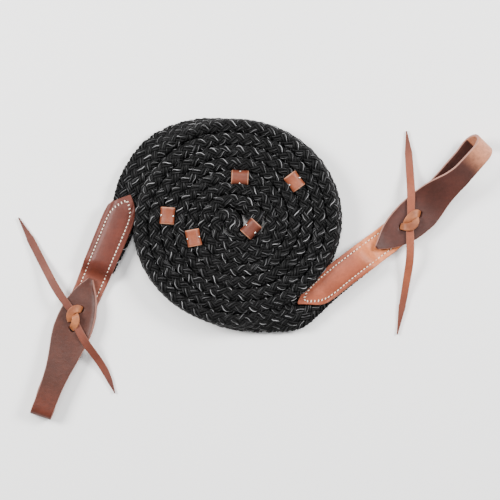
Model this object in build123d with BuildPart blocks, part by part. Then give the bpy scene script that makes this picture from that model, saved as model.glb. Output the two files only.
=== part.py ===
"""One-loop riding reins: a flat braided rein wound into a standing two-arm coil, five leather
grips tacked round it, and a stitched leather bit end with a laced water loop at each end.

The origin is on the ground under the middle of the coil, with +Z up. All sizes are in millimetres.
"""

from build123d import *
import os
from dataclasses import dataclass
from math import atan2, cos, degrees, radians, sin, tan

# Braided rein
BRAID_WIDTH = 20.5
BRAID_THICK = 9.3
COIL_PITCH = 19.53          # growth of each arm in one turn, two braids side by side
LEFT_ARM_START = 13.56
RIGHT_ARM_START = 3.85
COIL_OVAL = 1.7             # the coil is slightly egg-shaped
COIL_SHIFT_X = 0.97
COIL_SHIFT_Y = -0.85
COIL_EDGE_ROUND = 2.5
LEFT_PEEL = 1175.0          # winding angle, in degrees, where each arm leaves the coil
RIGHT_PEEL = 1330.0
KNUCKLE_GAP = 0.7           # free play round each bending place of the braid

# Braid between the coil and each leather end: it tips over from standing to lying flat
LEFT_TAIL_ROUTE = [(-6.5, 74.4, 10.25), (-27.0, 74.1, 10.0), (-47.4, 67.6, 9.1), (-65.8, 55.2, 7.4)]
RIGHT_TAIL_ROUTE = [(-25.8, -70.8, 10.25), (-6.6, -78.6, 10.0), (12.2, -81.0, 9.1), (30.6, -80.0, 7.4)]
TAIL_ARC_SHARE = 0.45       # of the shorter run, taken by the arc at each corner
TAIL_STATIONS = 15

# Leather grips round the braid
GRIP_LENGTH = 13.0
GRIP_WIDTH = 11.4
GRIP_STANDS_UP = 0.8
GRIP_WALL = 1.4
GRIP_CORNER = 2.6
TACK_HEAD_RADIUS = 1.0
TACK_HEAD_THICK = 0.5
TACK_SHANK_RADIUS = 0.4
TACK_SHANK_LENGTH = 4.0
TACK_BELOW_TOP = 4.0

# Leather ends: stations are measured along the strap from the facing's pointed tip
POCKET_DEPTH = 62.0         # how far the braid runs in between the two leathers
POCKET_BRAID_WIDTH = 20.5
POCKET_BRAID_THICK = 7.2
HINGE_BEFORE_TIP = 6.0
STRAP_THICK = 2.4
FACING_THICK = 2.2
FACING_WIDTH = 22.5
FACING_BEND_GAP = 0.1       # the facing stops just short of the strap's bend
LOOP_WIDTH = 15.6
FLAP_WIDTH = 30.0
FLAP_TIP = 72.5
FLAP_TIP_HALF_WIDTH = 1.0
FLAP_WIDEST = 112.0
NECK_START = 150.0          # where the strap has narrowed to its water loop
HOLE_NEAR = 97.0
HOLE_FAR = 113.0
HOLE_RADIUS = 2.4
STRAP_BEND_AT = 118.0
LEAN_RUN = 40.0             # run beyond the bend in which the loop's lean builds up
BED_MARGIN = 7.0            # how far the leathers stay lifted beyond each lace hole
BED_RAMP_IN = 8.0           # runs of the ramps onto and off the lace's bed
BED_RAMP_OUT = 14.0
POCKET_RAMP = 8.0           # run of the facing's step down from the braid
LOOP_ARC_STEP = 22          # degrees between sections of the loop's fold

# Leather lace that ties the flap down
LACE_WIDTH = 6.0
LACE_THICK = 1.7
LACE_RUN_GAP = 0.1
LACE_RISER_RADIUS = 2.1
KNOT_LENGTH = 17.0
KNOT_WIDTH = 9.0
KNOT_HEIGHT = 4.6
KNOT_CORNER = 3.6
KNOT_ROUND = 1.5
LACE_TAIL_LIFT = 1.0        # how far the tails start above the knot's underside
LACE_TIP_WIDTH = 1.2

# Stitching of the leather ends
STITCH_PITCH = 2.9
STITCH_LENGTH = 2.1
STITCH_WIDTH = 0.8
STITCH_HEIGHT = 0.5
STITCH_BITE = 0.1           # how deep the thread is drawn into the leather
STITCH_ROW = 7.7            # each row, from the strap's centre line
STITCH_START = 9.0
STITCH_END = 86.0
STITCH_V_START = 4.2        # the two rows meet behind the facing's tip
STITCH_V_STEPS = 3


@dataclass(frozen=True)
class End:
    """Where one leather end lies, and how far its water loop stands open."""

    name: str
    mouth: tuple            # ground point under the facing's tip
    heading: float          # degrees, from the tip towards the loop
    loop_heading: float
    strap_length: float     # station of the loop's end
    loop_height: float      # outside height of the open loop
    roll: float             # degrees that the loop leans over, away from the coil
    lace_up: tuple          # route of the two lace tails, from the knot to the tips
    lace_down: tuple


LEFT = End(
    name="left", mouth=(-85.0, 23.0), heading=246.5, loop_heading=251.3,
    strap_length=186.5, loop_height=11.4, roll=0.0,
    lace_up=((-135.5, -58.0, 11.2), (-150.0, -31.0, 3.5), (-160.5, -10.5, 1.1), (-169.0, 4.4, 1.1)),
    lace_down=((-118.0, -91.0, 11.2), (-106.5, -106.5, 3.5), (-99.0, -119.0, 1.1), (-93.6, -133.0, 1.1)),
)
RIGHT = End(
    name="right", mouth=(55.3, -67.9), heading=41.0, loop_heading=48.2,
    strap_length=189.0, loop_height=20.0, roll=27.0,
    lace_up=((135.3, 22.0, 11.2), (134.4, 40.0, 3.5), (133.5, 56.0, 1.1), (132.0, 71.0, 1.1)),
    lace_down=((135.2, -23.0, 11.2), (132.0, -46.0, 3.5), (128.2, -68.0, 1.1), (124.8, -87.5, 1.1)),
)


# ---------------------------------------------------------------- coil geometry

def arm_point(start, angle, outwards=0.0, height=0.0):
    """Point on a coil arm's centre line at a winding angle, moved outwards by a distance."""
    turn = radians(angle)
    radius = start + COIL_PITCH * angle / 360 + outwards
    radius += COIL_OVAL * cos(2 * turn) + COIL_SHIFT_X * cos(turn) + COIL_SHIFT_Y * sin(turn)
    return Vector(radius * cos(turn), radius * sin(turn), height)


def arm_edge(start, first, last, steps=14):
    """Points along a coil arm's outer edge between two winding angles."""
    step = (last - first) / steps
    return [arm_point(start, first + i * step, BRAID_THICK / 2) for i in range(steps + 1)]


def setback(start, angle):
    """Winding angle taken up by the free gap in front of a tail's round knuckle."""
    reach = BRAID_THICK / 2 + KNUCKLE_GAP
    return degrees(reach / arm_point(start, angle).length)


# ------------------------------------------------------------------ grips and tacks

# name, place on the ground, heading of the braid there
GRIPS = [
    ("grip_centre", (11.6, -5.4), 47.0),
    ("grip_left_inner", (3.1, 34.1), 176.0),
    ("grip_left_outer", (45.0, 31.0), 126.0),
    ("grip_right_inner", (-32.6, -12.4), 281.0),
    ("grip_right_outer", (-52.7, 4.65), 266.0),
]
GRIP_HEIGHT = BRAID_WIDTH + GRIP_STANDS_UP


def grip_plane(place, heading, height):
    """Plane across the braid at a grip, with its X axis up and its normal along the braid."""
    along = (cos(radians(heading)), sin(radians(heading)), 0)
    return Plane(origin=(place[0], place[1], height), x_dir=(0, 0, 1), z_dir=along)


def make_tacks(name, place, heading):
    """Two domed tacks, one driven into each flat side of a grip near its top edge."""
    with BuildPart() as tacks:
        for side in (-1, 1):
            across = (side * sin(radians(heading)), -side * cos(radians(heading)), 0)
            face = GRIP_WIDTH / 2
            origin = Vector(place[0], place[1], GRIP_HEIGHT - TACK_BELOW_TOP) + Vector(*across) * face
            side_face = Plane(origin=origin, z_dir=across)
            with BuildSketch(side_face):
                Circle(TACK_HEAD_RADIUS)
            extrude(amount=TACK_HEAD_THICK)
            with BuildSketch(side_face):
                Circle(TACK_SHANK_RADIUS)
            extrude(amount=-TACK_SHANK_LENGTH)
    tacks.part.label = name.replace("grip", "tacks")
    return tacks.part


def make_grip(name, place, heading, tacks):
    """A short leather sleeve drawn tight round the braid."""
    with BuildPart() as grip:
        with BuildSketch(grip_plane(place, heading, GRIP_HEIGHT / 2)):
            RectangleRounded(GRIP_HEIGHT, GRIP_WIDTH, GRIP_CORNER)
            RectangleRounded(
                GRIP_HEIGHT - 2 * GRIP_WALL, GRIP_WIDTH - 2 * GRIP_WALL,
                GRIP_CORNER - GRIP_WALL, mode=Mode.SUBTRACT,
            )
        extrude(amount=GRIP_LENGTH / 2, both=True)
        add(tacks, mode=Mode.SUBTRACT)
    grip.part.label = name
    return grip.part


# ------------------------------------------------------------------ coil

def make_coil(cuts):
    """The whole wound braid as one solid of its outer shape, with room for grips and tacks."""
    left_gap = setback(LEFT_ARM_START, LEFT_PEEL)
    right_gap = setback(RIGHT_ARM_START, RIGHT_PEEL)
    left_edge = arm_edge(LEFT_ARM_START, RIGHT_PEEL - right_gap - 360, LEFT_PEEL - left_gap)
    right_edge = arm_edge(RIGHT_ARM_START, LEFT_PEEL - left_gap, RIGHT_PEEL - right_gap)
    with BuildPart() as coil:
        with BuildSketch():
            with BuildLine():
                Spline(*left_edge)
                Line(left_edge[-1], right_edge[0])
                Spline(*right_edge)
                Line(right_edge[-1], left_edge[0])
            make_face()
        extrude(amount=BRAID_WIDTH)
        chamfer(coil.edges().group_by(Axis.Z)[-1], COIL_EDGE_ROUND)
        for cut in cuts:
            add(cut, mode=Mode.SUBTRACT)
    coil.part.label = "braid_coil"
    return coil.part


# ------------------------------------------------------------------ strap coordinates

def forward(end, station):
    """Unit vector along the strap at a station."""
    if abs(station - STRAP_BEND_AT) < 0.01:
        heading = (end.heading + end.loop_heading) / 2
    elif station < STRAP_BEND_AT:
        heading = end.heading
    else:
        heading = end.loop_heading
    return Vector(cos(radians(heading)), sin(radians(heading)), 0)


def centre(end, station):
    """Ground point under the strap's centre line at a station."""
    before = min(station, STRAP_BEND_AT)
    after = max(station - STRAP_BEND_AT, 0)
    first = forward(end, 0) * before
    return Vector(end.mouth[0], end.mouth[1], 0) + first + forward(end, end.strap_length) * after


def roll_at(end, station):
    """How far the strap leans over at a station, in degrees: flat at the knot, full at the loop."""
    share = min(max((station - STRAP_BEND_AT) / LEAN_RUN, 0), 1)
    return end.roll * share * share * (3 - 2 * share)


def strap_frame(end, station, height, pitch=0.0):
    """Plane across the strap at a station, its X axis across, its normal along the leather.

    height is above the strap's own bottom, and pitch is the climb of the leather in degrees.
    A leaning strap stands on its outer edge, with its middle height over the centre line."""
    ahead = forward(end, station)
    out = ahead.cross(Vector(0, 0, 1))
    lean = radians(roll_at(end, station))
    normal = Vector(0, 0, 1) * cos(lean) + out * sin(lean)
    across = out * cos(lean) - Vector(0, 0, 1) * sin(lean)
    lift = LOOP_WIDTH / 2 * sin(lean)
    aside = out * (-end.loop_height / 2 * sin(lean))
    origin = centre(end, station) + aside + Vector(0, 0, lift) + normal * height
    along = ahead * cos(radians(pitch)) + normal * sin(radians(pitch))
    return Plane(origin=origin, x_dir=across, z_dir=along)


def between(table, station):
    """Straight-line value between two rows of a (station, value) table, level past its last row."""
    for (low, a), (high, b) in zip(table, table[1:]):
        if station <= high:
            return a + (b - a) * (station - low) / (high - low)
    return table[-1][1]


# ------------------------------------------------------------------ leather end pieces

LACE_BED = LACE_THICK + 2 * LACE_RUN_GAP
POCKET_TOP = STRAP_THICK + POCKET_BRAID_THICK
BED_START = HOLE_NEAR - BED_MARGIN
BED_END = HOLE_FAR + BED_MARGIN
BED_FOOT = BED_START - BED_RAMP_IN
BED_HEEL = BED_END + BED_RAMP_OUT

# underside of the back leather, which rides over the lace between the two holes
BACK_UNDER = [(0, 0), (BED_FOOT, 0), (BED_START, LACE_BED), (BED_END, LACE_BED), (BED_HEEL, 0)]
# underside of the facing: over the braid, down the step at the braid's end, then on the back leather
FACING_UNDER = [(0, POCKET_TOP), (POCKET_DEPTH, POCKET_TOP), (POCKET_DEPTH + POCKET_RAMP, STRAP_THICK),
                (BED_FOOT, STRAP_THICK), (BED_START, LACE_BED + STRAP_THICK)]
STACK = LACE_BED + STRAP_THICK + FACING_THICK
FACING_HALF_WIDTH = [(0, 1.2), (3, 4.6), (7, 8.2), (12, 10.7), (17, FACING_WIDTH / 2)]
BACK_HALF_WIDTH = [(1, 2.0), (7, 8.2), (12, 10.7), (17, FACING_WIDTH / 2),
                   (STRAP_BEND_AT, FACING_WIDTH / 2), (132, 9.8), (NECK_START, LOOP_WIDTH / 2)]
FLAP_HALF_WIDTH = [(FLAP_TIP, FLAP_TIP_HALF_WIDTH), (78, 4.6), (85, 8.7), (93, 12.4), (102, 14.4),
                   (FLAP_WIDEST, FLAP_WIDTH / 2), (120, 14.5), (128, 13.1), (138, 11.0),
                   (NECK_START, 9.1), (164, 8.0), (176, LOOP_WIDTH / 2)]
# how the flap comes down from the loop: share of the way from the facing up to the loop's top
FLAP_DESCENT = [(164, 1), (158, 1), (NECK_START, 0.85), (142, 0.6), (134, 0.3), (126, 0.08)]
# how far the flap lifts off the facing from its widest place to its curled tip
FLAP_CURL = [(STRAP_BEND_AT, 0), (FLAP_WIDEST, 0), (102, 0), (BED_START, 0), (85, 0.2), (78, 0.8),
             (FLAP_TIP, 1.8)]


def make_leather(end, name, sections, thickness):
    """Lofts straight from one strip section to the next, then cuts the two lace holes.

    Each section is a plane across the leather and half its width there."""
    with BuildPart() as leather:
        for plane, half_width in sections:
            with BuildSketch(plane):
                Rectangle(2 * half_width, thickness)
        loft(ruled=True)
        for station in (HOLE_NEAR, HOLE_FAR):
            with BuildSketch(Plane(origin=centre(end, station))):
                Circle(HOLE_RADIUS)
            extrude(amount=STACK + 2 * STRAP_THICK, mode=Mode.SUBTRACT)
    leather.part.label = end.name + "_" + name
    return leather.part


def climb(table, station):
    """Pitch, in degrees, of a leather layer that follows a height table."""
    rise = between(table, station + 1) - between(table, station - 1)
    return degrees(atan2(rise, 2))


def layer_sections(end, stations, under, half_widths, thickness):
    """Sections of a leather layer that lies on a height table."""
    rows = []
    for station in stations:
        height = between(under, station) + thickness / 2
        rows.append((strap_frame(end, station, height), between(half_widths, station)))
    return rows


def make_strap(end):
    """Back leather, water loop and flap: one strap that folds back on itself."""
    half = STRAP_THICK / 2
    bend_radius = end.loop_height / 2 - half
    fold = end.strap_length - end.loop_height / 2
    back = [station for station, _ in BACK_HALF_WIDTH] + [POCKET_DEPTH, BED_FOOT, BED_START, BED_HEEL]
    back += [station for station, _ in FLAP_DESCENT if station not in back and station > BED_HEEL]
    sections = layer_sections(end, sorted(back), BACK_UNDER, BACK_HALF_WIDTH, STRAP_THICK)
    for turn in range(-90, 91, LOOP_ARC_STEP):
        station = fold + bend_radius * cos(radians(turn))
        height = end.loop_height / 2 + bend_radius * sin(radians(turn))
        sections.append((strap_frame(end, station, height, turn + 90), LOOP_WIDTH / 2))
    crest = end.loop_height - half
    low = STACK + half
    returning = [(station, low + share * (crest - low)) for station, share in FLAP_DESCENT]
    for station, curl in FLAP_CURL:
        rest = between(FACING_UNDER, station) + FACING_THICK
        returning.append((station, rest + half + curl))
    for station, height in returning:
        plane = strap_frame(end, station, height, 180)
        sections.append((plane, between(FLAP_HALF_WIDTH, station)))
    return make_leather(end, "strap", sections, STRAP_THICK)


def make_facing(end):
    """Pointed leather facing stitched over the end of the braid."""
    stations = [0, 3, 7, 12, 17, POCKET_DEPTH, POCKET_DEPTH + POCKET_RAMP, BED_FOOT, BED_START,
                STRAP_BEND_AT - FACING_BEND_GAP]
    sections = layer_sections(end, stations, FACING_UNDER, FACING_HALF_WIDTH, FACING_THICK)
    return make_leather(end, "facing", sections, FACING_THICK)


def make_pocket_braid(end):
    """The last of the braid, pressed flat between the two leathers, with a round knuckle."""
    height = STRAP_THICK + POCKET_BRAID_THICK / 2
    mouth = strap_frame(end, -HINGE_BEFORE_TIP, height)
    with BuildPart() as braid:
        with BuildSketch(mouth):
            SlotOverall(POCKET_BRAID_WIDTH, POCKET_BRAID_THICK)
        extrude(amount=POCKET_DEPTH + HINGE_BEFORE_TIP)
        with BuildSketch(Plane(origin=mouth.origin, x_dir=mouth.z_dir, z_dir=mouth.x_dir)):
            Circle(POCKET_BRAID_THICK / 2)
        extrude(amount=(POCKET_BRAID_WIDTH - POCKET_BRAID_THICK) / 2, both=True)
    braid.part.label = end.name + "_pocket_braid"
    return braid.part


def make_tail(end, route):
    """Braid between the coil and the leather, tipping over from standing to lying flat.

    It takes on the pocket's width on the way, and its edge nearest the coil keeps to the route."""
    reach = HINGE_BEFORE_TIP + POCKET_BRAID_THICK / 2 + KNUCKLE_GAP
    stop = strap_frame(end, -reach, STRAP_THICK + POCKET_BRAID_THICK / 2).origin
    route = route + [(stop.X, stop.Y, stop.Z)]
    runs = [Vector(*b) - Vector(*a) for a, b in zip(route, route[1:])]
    radii = []
    for before, after in zip(runs, runs[1:]):
        shorter = min(before.length, after.length)
        turn = radians(before.get_angle(after))
        radii.append(TAIL_ARC_SHARE * shorter / tan(turn / 2))
    with BuildLine(mode=Mode.PRIVATE) as path:
        FilletPolyline(*route, radius=radii)
    line = path.wire()
    with BuildPart() as tail:
        for i in range(TAIL_STATIONS + 1):
            share = i / TAIL_STATIONS
            tip = 90 * share
            ahead = line % share
            ahead = Vector(ahead.X, ahead.Y, 0).normalized()
            if i == TAIL_STATIONS:
                ahead = forward(end, 0)
            out = ahead.cross(Vector(0, 0, 1))
            across = Vector(0, 0, 1) * cos(radians(tip)) - out * sin(radians(tip))
            thick = BRAID_THICK + (POCKET_BRAID_THICK - BRAID_THICK) * share
            width = BRAID_WIDTH + (POCKET_BRAID_WIDTH - BRAID_WIDTH) * share
            height = thick / 2 + (width - thick) / 2 * cos(radians(tip)) + STRAP_THICK * share ** 3
            aside = out * ((width - POCKET_BRAID_WIDTH) / 2 * sin(radians(tip)))
            origin = Vector((line @ share).X, (line @ share).Y, height) + aside
            with BuildSketch(Plane(origin=origin, x_dir=across, z_dir=ahead)):
                SlotOverall(width, thick)
        loft(ruled=True)
        with BuildSketch(Plane(origin=(route[0][0], route[0][1], 0))):
            Circle(BRAID_THICK / 2)
        extrude(amount=BRAID_WIDTH)
    tail.part.label = "braid_" + end.name + "_tail"
    return tail.part


def make_lace(end):
    """Lace through both holes, knotted on top of the flap, with two long pointed tails."""
    top = STACK + STRAP_THICK
    middle = (HOLE_NEAR + HOLE_FAR) / 2
    knot_centre = centre(end, middle)
    ahead = forward(end, 0)
    with BuildPart() as lace:
        with BuildSketch(Plane(origin=knot_centre + Vector(0, 0, top + LACE_RUN_GAP), x_dir=ahead)):
            RectangleRounded(KNOT_LENGTH + 2 * LACE_RISER_RADIUS, KNOT_WIDTH, KNOT_CORNER)
        extrude(amount=KNOT_HEIGHT)
        fillet(lace.faces().sort_by(Axis.Z)[-1].edges(), KNOT_ROUND)
        with BuildSketch(Plane(origin=knot_centre + Vector(0, 0, LACE_RUN_GAP), x_dir=ahead)):
            Rectangle(HOLE_FAR - HOLE_NEAR, LACE_WIDTH)
        extrude(amount=LACE_THICK)
        for station in (HOLE_NEAR, HOLE_FAR):
            with BuildSketch(Plane(origin=centre(end, station) + Vector(0, 0, LACE_RUN_GAP))):
                Circle(LACE_RISER_RADIUS)
            extrude(amount=top + KNOT_HEIGHT / 2)
    tails = [make_lace_tail(knot_centre, top, route) for route in (end.lace_up, end.lace_down)]
    with BuildPart() as whole:
        add(lace.part)
        for tail in tails:
            add(tail)
    whole.part.label = end.name + "_lace"
    return whole.part


def make_lace_tail(knot_centre, top, route):
    """One flat tail of the lace, from inside the knot down to the ground, with a pointed tip."""
    start_height = top + LACE_RUN_GAP + LACE_THICK / 2 + LACE_TAIL_LIFT
    start = Vector(knot_centre.X, knot_centre.Y, start_height)
    points = [start] + [Vector(*point) for point in route]
    with BuildPart() as tail:
        for i, point in enumerate(points):
            before = points[max(i - 1, 0)]
            after = points[min(i + 1, len(points) - 1)]
            ahead = Vector(after.X - before.X, after.Y - before.Y, 0).normalized()
            width = LACE_TIP_WIDTH if i == len(points) - 1 else LACE_WIDTH
            with BuildSketch(Plane(origin=point, x_dir=ahead.cross(Vector(0, 0, 1)), z_dir=ahead)):
                Rectangle(width, LACE_THICK)
        loft(ruled=True)
    return tail.part


def stitch_frame(end, station, offset, turn):
    """Plane on top of the facing at a stitch, its X axis along the thread."""
    height = between(FACING_UNDER, station) + FACING_THICK - STITCH_BITE
    across = strap_frame(end, station, height)
    pitch = radians(climb(FACING_UNDER, station))
    along = across.z_dir * cos(pitch) + Vector(0, 0, 1) * sin(pitch)
    normal = Vector(0, 0, 1) * cos(pitch) - across.z_dir * sin(pitch)
    thread = along * cos(turn) + across.x_dir * sin(turn)
    return Plane(origin=across.origin + across.x_dir * offset, x_dir=thread, z_dir=normal)


def make_stitching(end):
    """Two rows of short stitches along the facing, which meet in a V behind its tip."""
    planes = []
    count = int((STITCH_END - STITCH_START) / STITCH_PITCH)
    for side in (-1, 1):
        for i in range(count):
            station = STITCH_START + (i + 0.5) * STITCH_PITCH
            planes.append(stitch_frame(end, station, side * STITCH_ROW, 0))
        rise = STITCH_START - STITCH_V_START
        slope = atan2(STITCH_ROW, rise)
        for i in range(STITCH_V_STEPS):
            share = (i + 0.5) / STITCH_V_STEPS
            station = STITCH_V_START + rise * share
            planes.append(stitch_frame(end, station, side * STITCH_ROW * share, side * slope))
    with BuildPart() as stitching:
        with Locations(*planes):
            Box(
                STITCH_LENGTH, STITCH_WIDTH, STITCH_HEIGHT,
                align=(Align.CENTER, Align.CENTER, Align.MIN),
            )
    stitching.part.label = end.name + "_stitching"
    return stitching.part


# ------------------------------------------------------------------ assembly

def main():
    """Builds every piece and writes each one as its own STEP file."""
    pieces = []
    cuts = []
    for name, place, heading in GRIPS:
        tacks = make_tacks(name, place, heading)
        grip = make_grip(name, place, heading, tacks)
        pieces += [tacks, grip]
        cuts += [tacks, grip]
    pieces.append(make_coil(cuts))
    for end, route in ((LEFT, LEFT_TAIL_ROUTE), (RIGHT, RIGHT_TAIL_ROUTE)):
        pieces.append(make_tail(end, route))
        pieces.append(make_pocket_braid(end))
        pieces.append(make_strap(end))
        pieces.append(make_facing(end))
        pieces.append(make_lace(end))
        pieces.append(make_stitching(end))
    os.makedirs("parts", exist_ok=True)
    for piece in pieces:
        export_step(piece, "parts/" + piece.label + ".step")


main()
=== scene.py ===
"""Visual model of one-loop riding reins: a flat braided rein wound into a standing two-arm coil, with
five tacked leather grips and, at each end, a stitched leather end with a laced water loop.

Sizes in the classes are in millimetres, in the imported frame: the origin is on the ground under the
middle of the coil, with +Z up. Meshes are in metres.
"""

import logging
import math
from dataclasses import dataclass, field
from enum import Enum
from typing import Callable, Sequence, Union

import bmesh
import bpy
import numpy as np
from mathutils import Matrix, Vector


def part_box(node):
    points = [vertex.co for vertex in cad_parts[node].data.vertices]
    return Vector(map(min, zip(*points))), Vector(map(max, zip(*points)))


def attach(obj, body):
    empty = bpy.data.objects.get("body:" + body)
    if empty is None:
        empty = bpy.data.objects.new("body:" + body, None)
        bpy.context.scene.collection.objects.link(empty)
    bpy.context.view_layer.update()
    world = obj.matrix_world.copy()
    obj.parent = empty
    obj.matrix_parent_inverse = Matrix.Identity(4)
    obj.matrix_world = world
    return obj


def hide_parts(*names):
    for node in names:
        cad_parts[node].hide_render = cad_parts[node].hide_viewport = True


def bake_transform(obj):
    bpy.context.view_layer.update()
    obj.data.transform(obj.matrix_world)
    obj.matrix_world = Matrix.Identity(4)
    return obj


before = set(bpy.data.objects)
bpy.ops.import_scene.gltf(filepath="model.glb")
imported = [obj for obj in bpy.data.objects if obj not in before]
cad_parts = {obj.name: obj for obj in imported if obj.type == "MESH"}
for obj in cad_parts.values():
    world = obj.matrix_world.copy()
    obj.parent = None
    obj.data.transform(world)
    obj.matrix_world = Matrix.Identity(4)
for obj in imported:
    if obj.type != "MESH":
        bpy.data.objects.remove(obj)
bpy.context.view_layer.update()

LOG = logging.getLogger("reins")
MM = 0.001
UP = Vector((0.0, 0.0, 1.0))

Colour = tuple[float, float, float]
Table = Sequence[tuple[float, float]]
Ring = list[Vector]


class Side(Enum):
    """Which end of the rein a piece belongs to."""

    LEFT = "left"
    RIGHT = "right"


class Body(Enum):
    """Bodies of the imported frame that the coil's pieces ride on."""

    COIL = "coil"


# ---------------------------------------------------------------- shader graph

class Value:
    """A socket that carries a number, with arithmetic that adds Math nodes."""

    def __init__(self, graph: "Graph", socket: bpy.types.NodeSocket) -> None:
        """Keeps the socket and the graph that it belongs to.

        Args:
            graph: The graph that new nodes go into.
            socket: The output socket to wrap.
        """
        self.graph = graph
        self.socket = socket

    def _math(self, operation: str, first: "Term", second: "Term") -> "Value":
        """Adds one Math node.

        Args:
            operation: The node's operation.
            first: Its first value.
            second: Its second value.

        Returns:
            The node's result.
        """
        return self.graph.value("ShaderNodeMath", {"operation": operation}, {0: first, 1: second})

    def __add__(self, other: "Term") -> "Value":
        """Sum."""
        return self._math("ADD", self, other)

    def __radd__(self, other: "Term") -> "Value":
        """Sum with the number first."""
        return self._math("ADD", other, self)

    def __sub__(self, other: "Term") -> "Value":
        """Difference."""
        return self._math("SUBTRACT", self, other)

    def __rsub__(self, other: "Term") -> "Value":
        """Difference with the number first."""
        return self._math("SUBTRACT", other, self)

    def __mul__(self, other: "Term") -> "Value":
        """Product."""
        return self._math("MULTIPLY", self, other)

    def __rmul__(self, other: "Term") -> "Value":
        """Product with the number first."""
        return self._math("MULTIPLY", other, self)

    def step(self, low: float, high: float) -> "Value":
        """Smooth rise from 0 at low to 1 at high.

        Args:
            low: Where the rise starts.
            high: Where it ends.

        Returns:
            The eased value.
        """
        settings = {"interpolation_type": "SMOOTHSTEP"}
        return self.graph.value("ShaderNodeMapRange", settings, {0: self, 1: low, 2: high})


Term = Union[Value, float]
Setting = Union[Value, bpy.types.NodeSocket, float, Sequence[float]]


class Graph:
    """The node tree of one finish."""

    def __init__(self, name: str) -> None:
        """Makes a material with an empty Principled shader.

        Args:
            name: The material's name.
        """
        self.material = bpy.data.materials.new(name)
        self.material.use_nodes = True
        self.tree = self.material.node_tree
        self.shader = self.tree.nodes["Principled BSDF"]

    def node(self, kind: str, settings: dict, sockets: dict) -> bpy.types.Node:
        """Adds any node.

        Args:
            kind: The node's type.
            settings: Its settings.
            sockets: Values or links of its inputs, by index or name.

        Returns:
            The new node.
        """
        node = self.tree.nodes.new(kind)
        for key, setting in settings.items():
            setattr(node, key, setting)
        for key, setting in sockets.items():
            self.put(node.inputs[key], setting)
        return node

    def put(self, socket: bpy.types.NodeSocket, setting: Setting) -> None:
        """Sets or links one input.

        Args:
            socket: The input.
            setting: A value, a socket or a plain number or colour.
        """
        if isinstance(setting, Value):
            setting = setting.socket
        if isinstance(setting, bpy.types.NodeSocket):
            self.tree.links.new(setting, socket)
        elif socket.type == "RGBA" and len(setting) == 3:
            socket.default_value = (*setting, 1.0)
        else:
            socket.default_value = setting

    def value(self, kind: str, settings: dict, sockets: dict, output: int = 0) -> Value:
        """Adds a node and wraps one of its outputs.

        Args:
            kind: The node's type.
            settings: Its settings.
            sockets: Its inputs.
            output: Index of the output to wrap.

        Returns:
            The wrapped output.
        """
        return Value(self, self.node(kind, settings, sockets).outputs[output])

    def place(self) -> bpy.types.NodeSocket:
        """Object coordinates."""
        return self.node("ShaderNodeTexCoord", {}, {}).outputs["Object"]

    def attribute(self, name: str) -> bpy.types.Node:
        """Node that reads one of the mesh's own attributes."""
        return self.node("ShaderNodeAttribute", {"attribute_name": name}, {})

    def scaled(self, vector: bpy.types.NodeSocket, scale: Colour) -> bpy.types.NodeSocket:
        """A vector stretched along its axes.

        Args:
            vector: The vector to stretch.
            scale: Its factors.

        Returns:
            The stretched vector.
        """
        return self.node("ShaderNodeVectorMath", {"operation": "MULTIPLY"}, {0: vector, 1: scale}).outputs[0]

    def noise(self, vector: bpy.types.NodeSocket, scale: float, detail: float = 2.0) -> Value:
        """Soft noise from 0 to 1.

        Args:
            vector: Where it is read.
            scale: Its scale, per metre.
            detail: How many finer layers it has.

        Returns:
            The noise.
        """
        sockets = {"Vector": vector, "Scale": scale, "Detail": detail}
        return self.value("ShaderNodeTexNoise", {}, sockets)

    def cells(self, vector: bpy.types.NodeSocket, scale: float) -> Value:
        """Distance to the nearest pore.

        Args:
            vector: Where it is read.
            scale: Pores per metre.

        Returns:
            The distance.
        """
        return self.value("ShaderNodeTexVoronoi", {}, {"Vector": vector, "Scale": scale})

    def tint(self, factor: Term, first: Setting, second: Setting) -> bpy.types.NodeSocket:
        """A colour between two colours.

        Args:
            factor: 0 for the first, 1 for the second.
            first: The first colour.
            second: The second colour.

        Returns:
            The colour between them.
        """
        sockets = {0: factor, 6: first, 7: second}
        return self.node("ShaderNodeMix", {"data_type": "RGBA"}, sockets).outputs[2]

    def bump(self, height: Value, distance: float, strength: float = 1.0) -> None:
        """Feeds a height into the shader's normal.

        Args:
            height: The relief, from 0 to 1.
            distance: What 1 stands for, in metres.
            strength: Share of the relief that shows.
        """
        sockets = {"Height": height, "Distance": distance, "Strength": strength}
        normal = self.node("ShaderNodeBump", {}, sockets).outputs[0]
        self.put(self.shader.inputs["Normal"], normal)

    def dress(self, **sockets: Setting) -> bpy.types.Material:
        """Sets the shader's inputs, named with _ for a space, and hands over the material."""
        for name, setting in sockets.items():
            self.put(self.shader.inputs[name.replace("_", " ")], setting)
        return self.material


# ---------------------------------------------------------------- finishes

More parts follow.
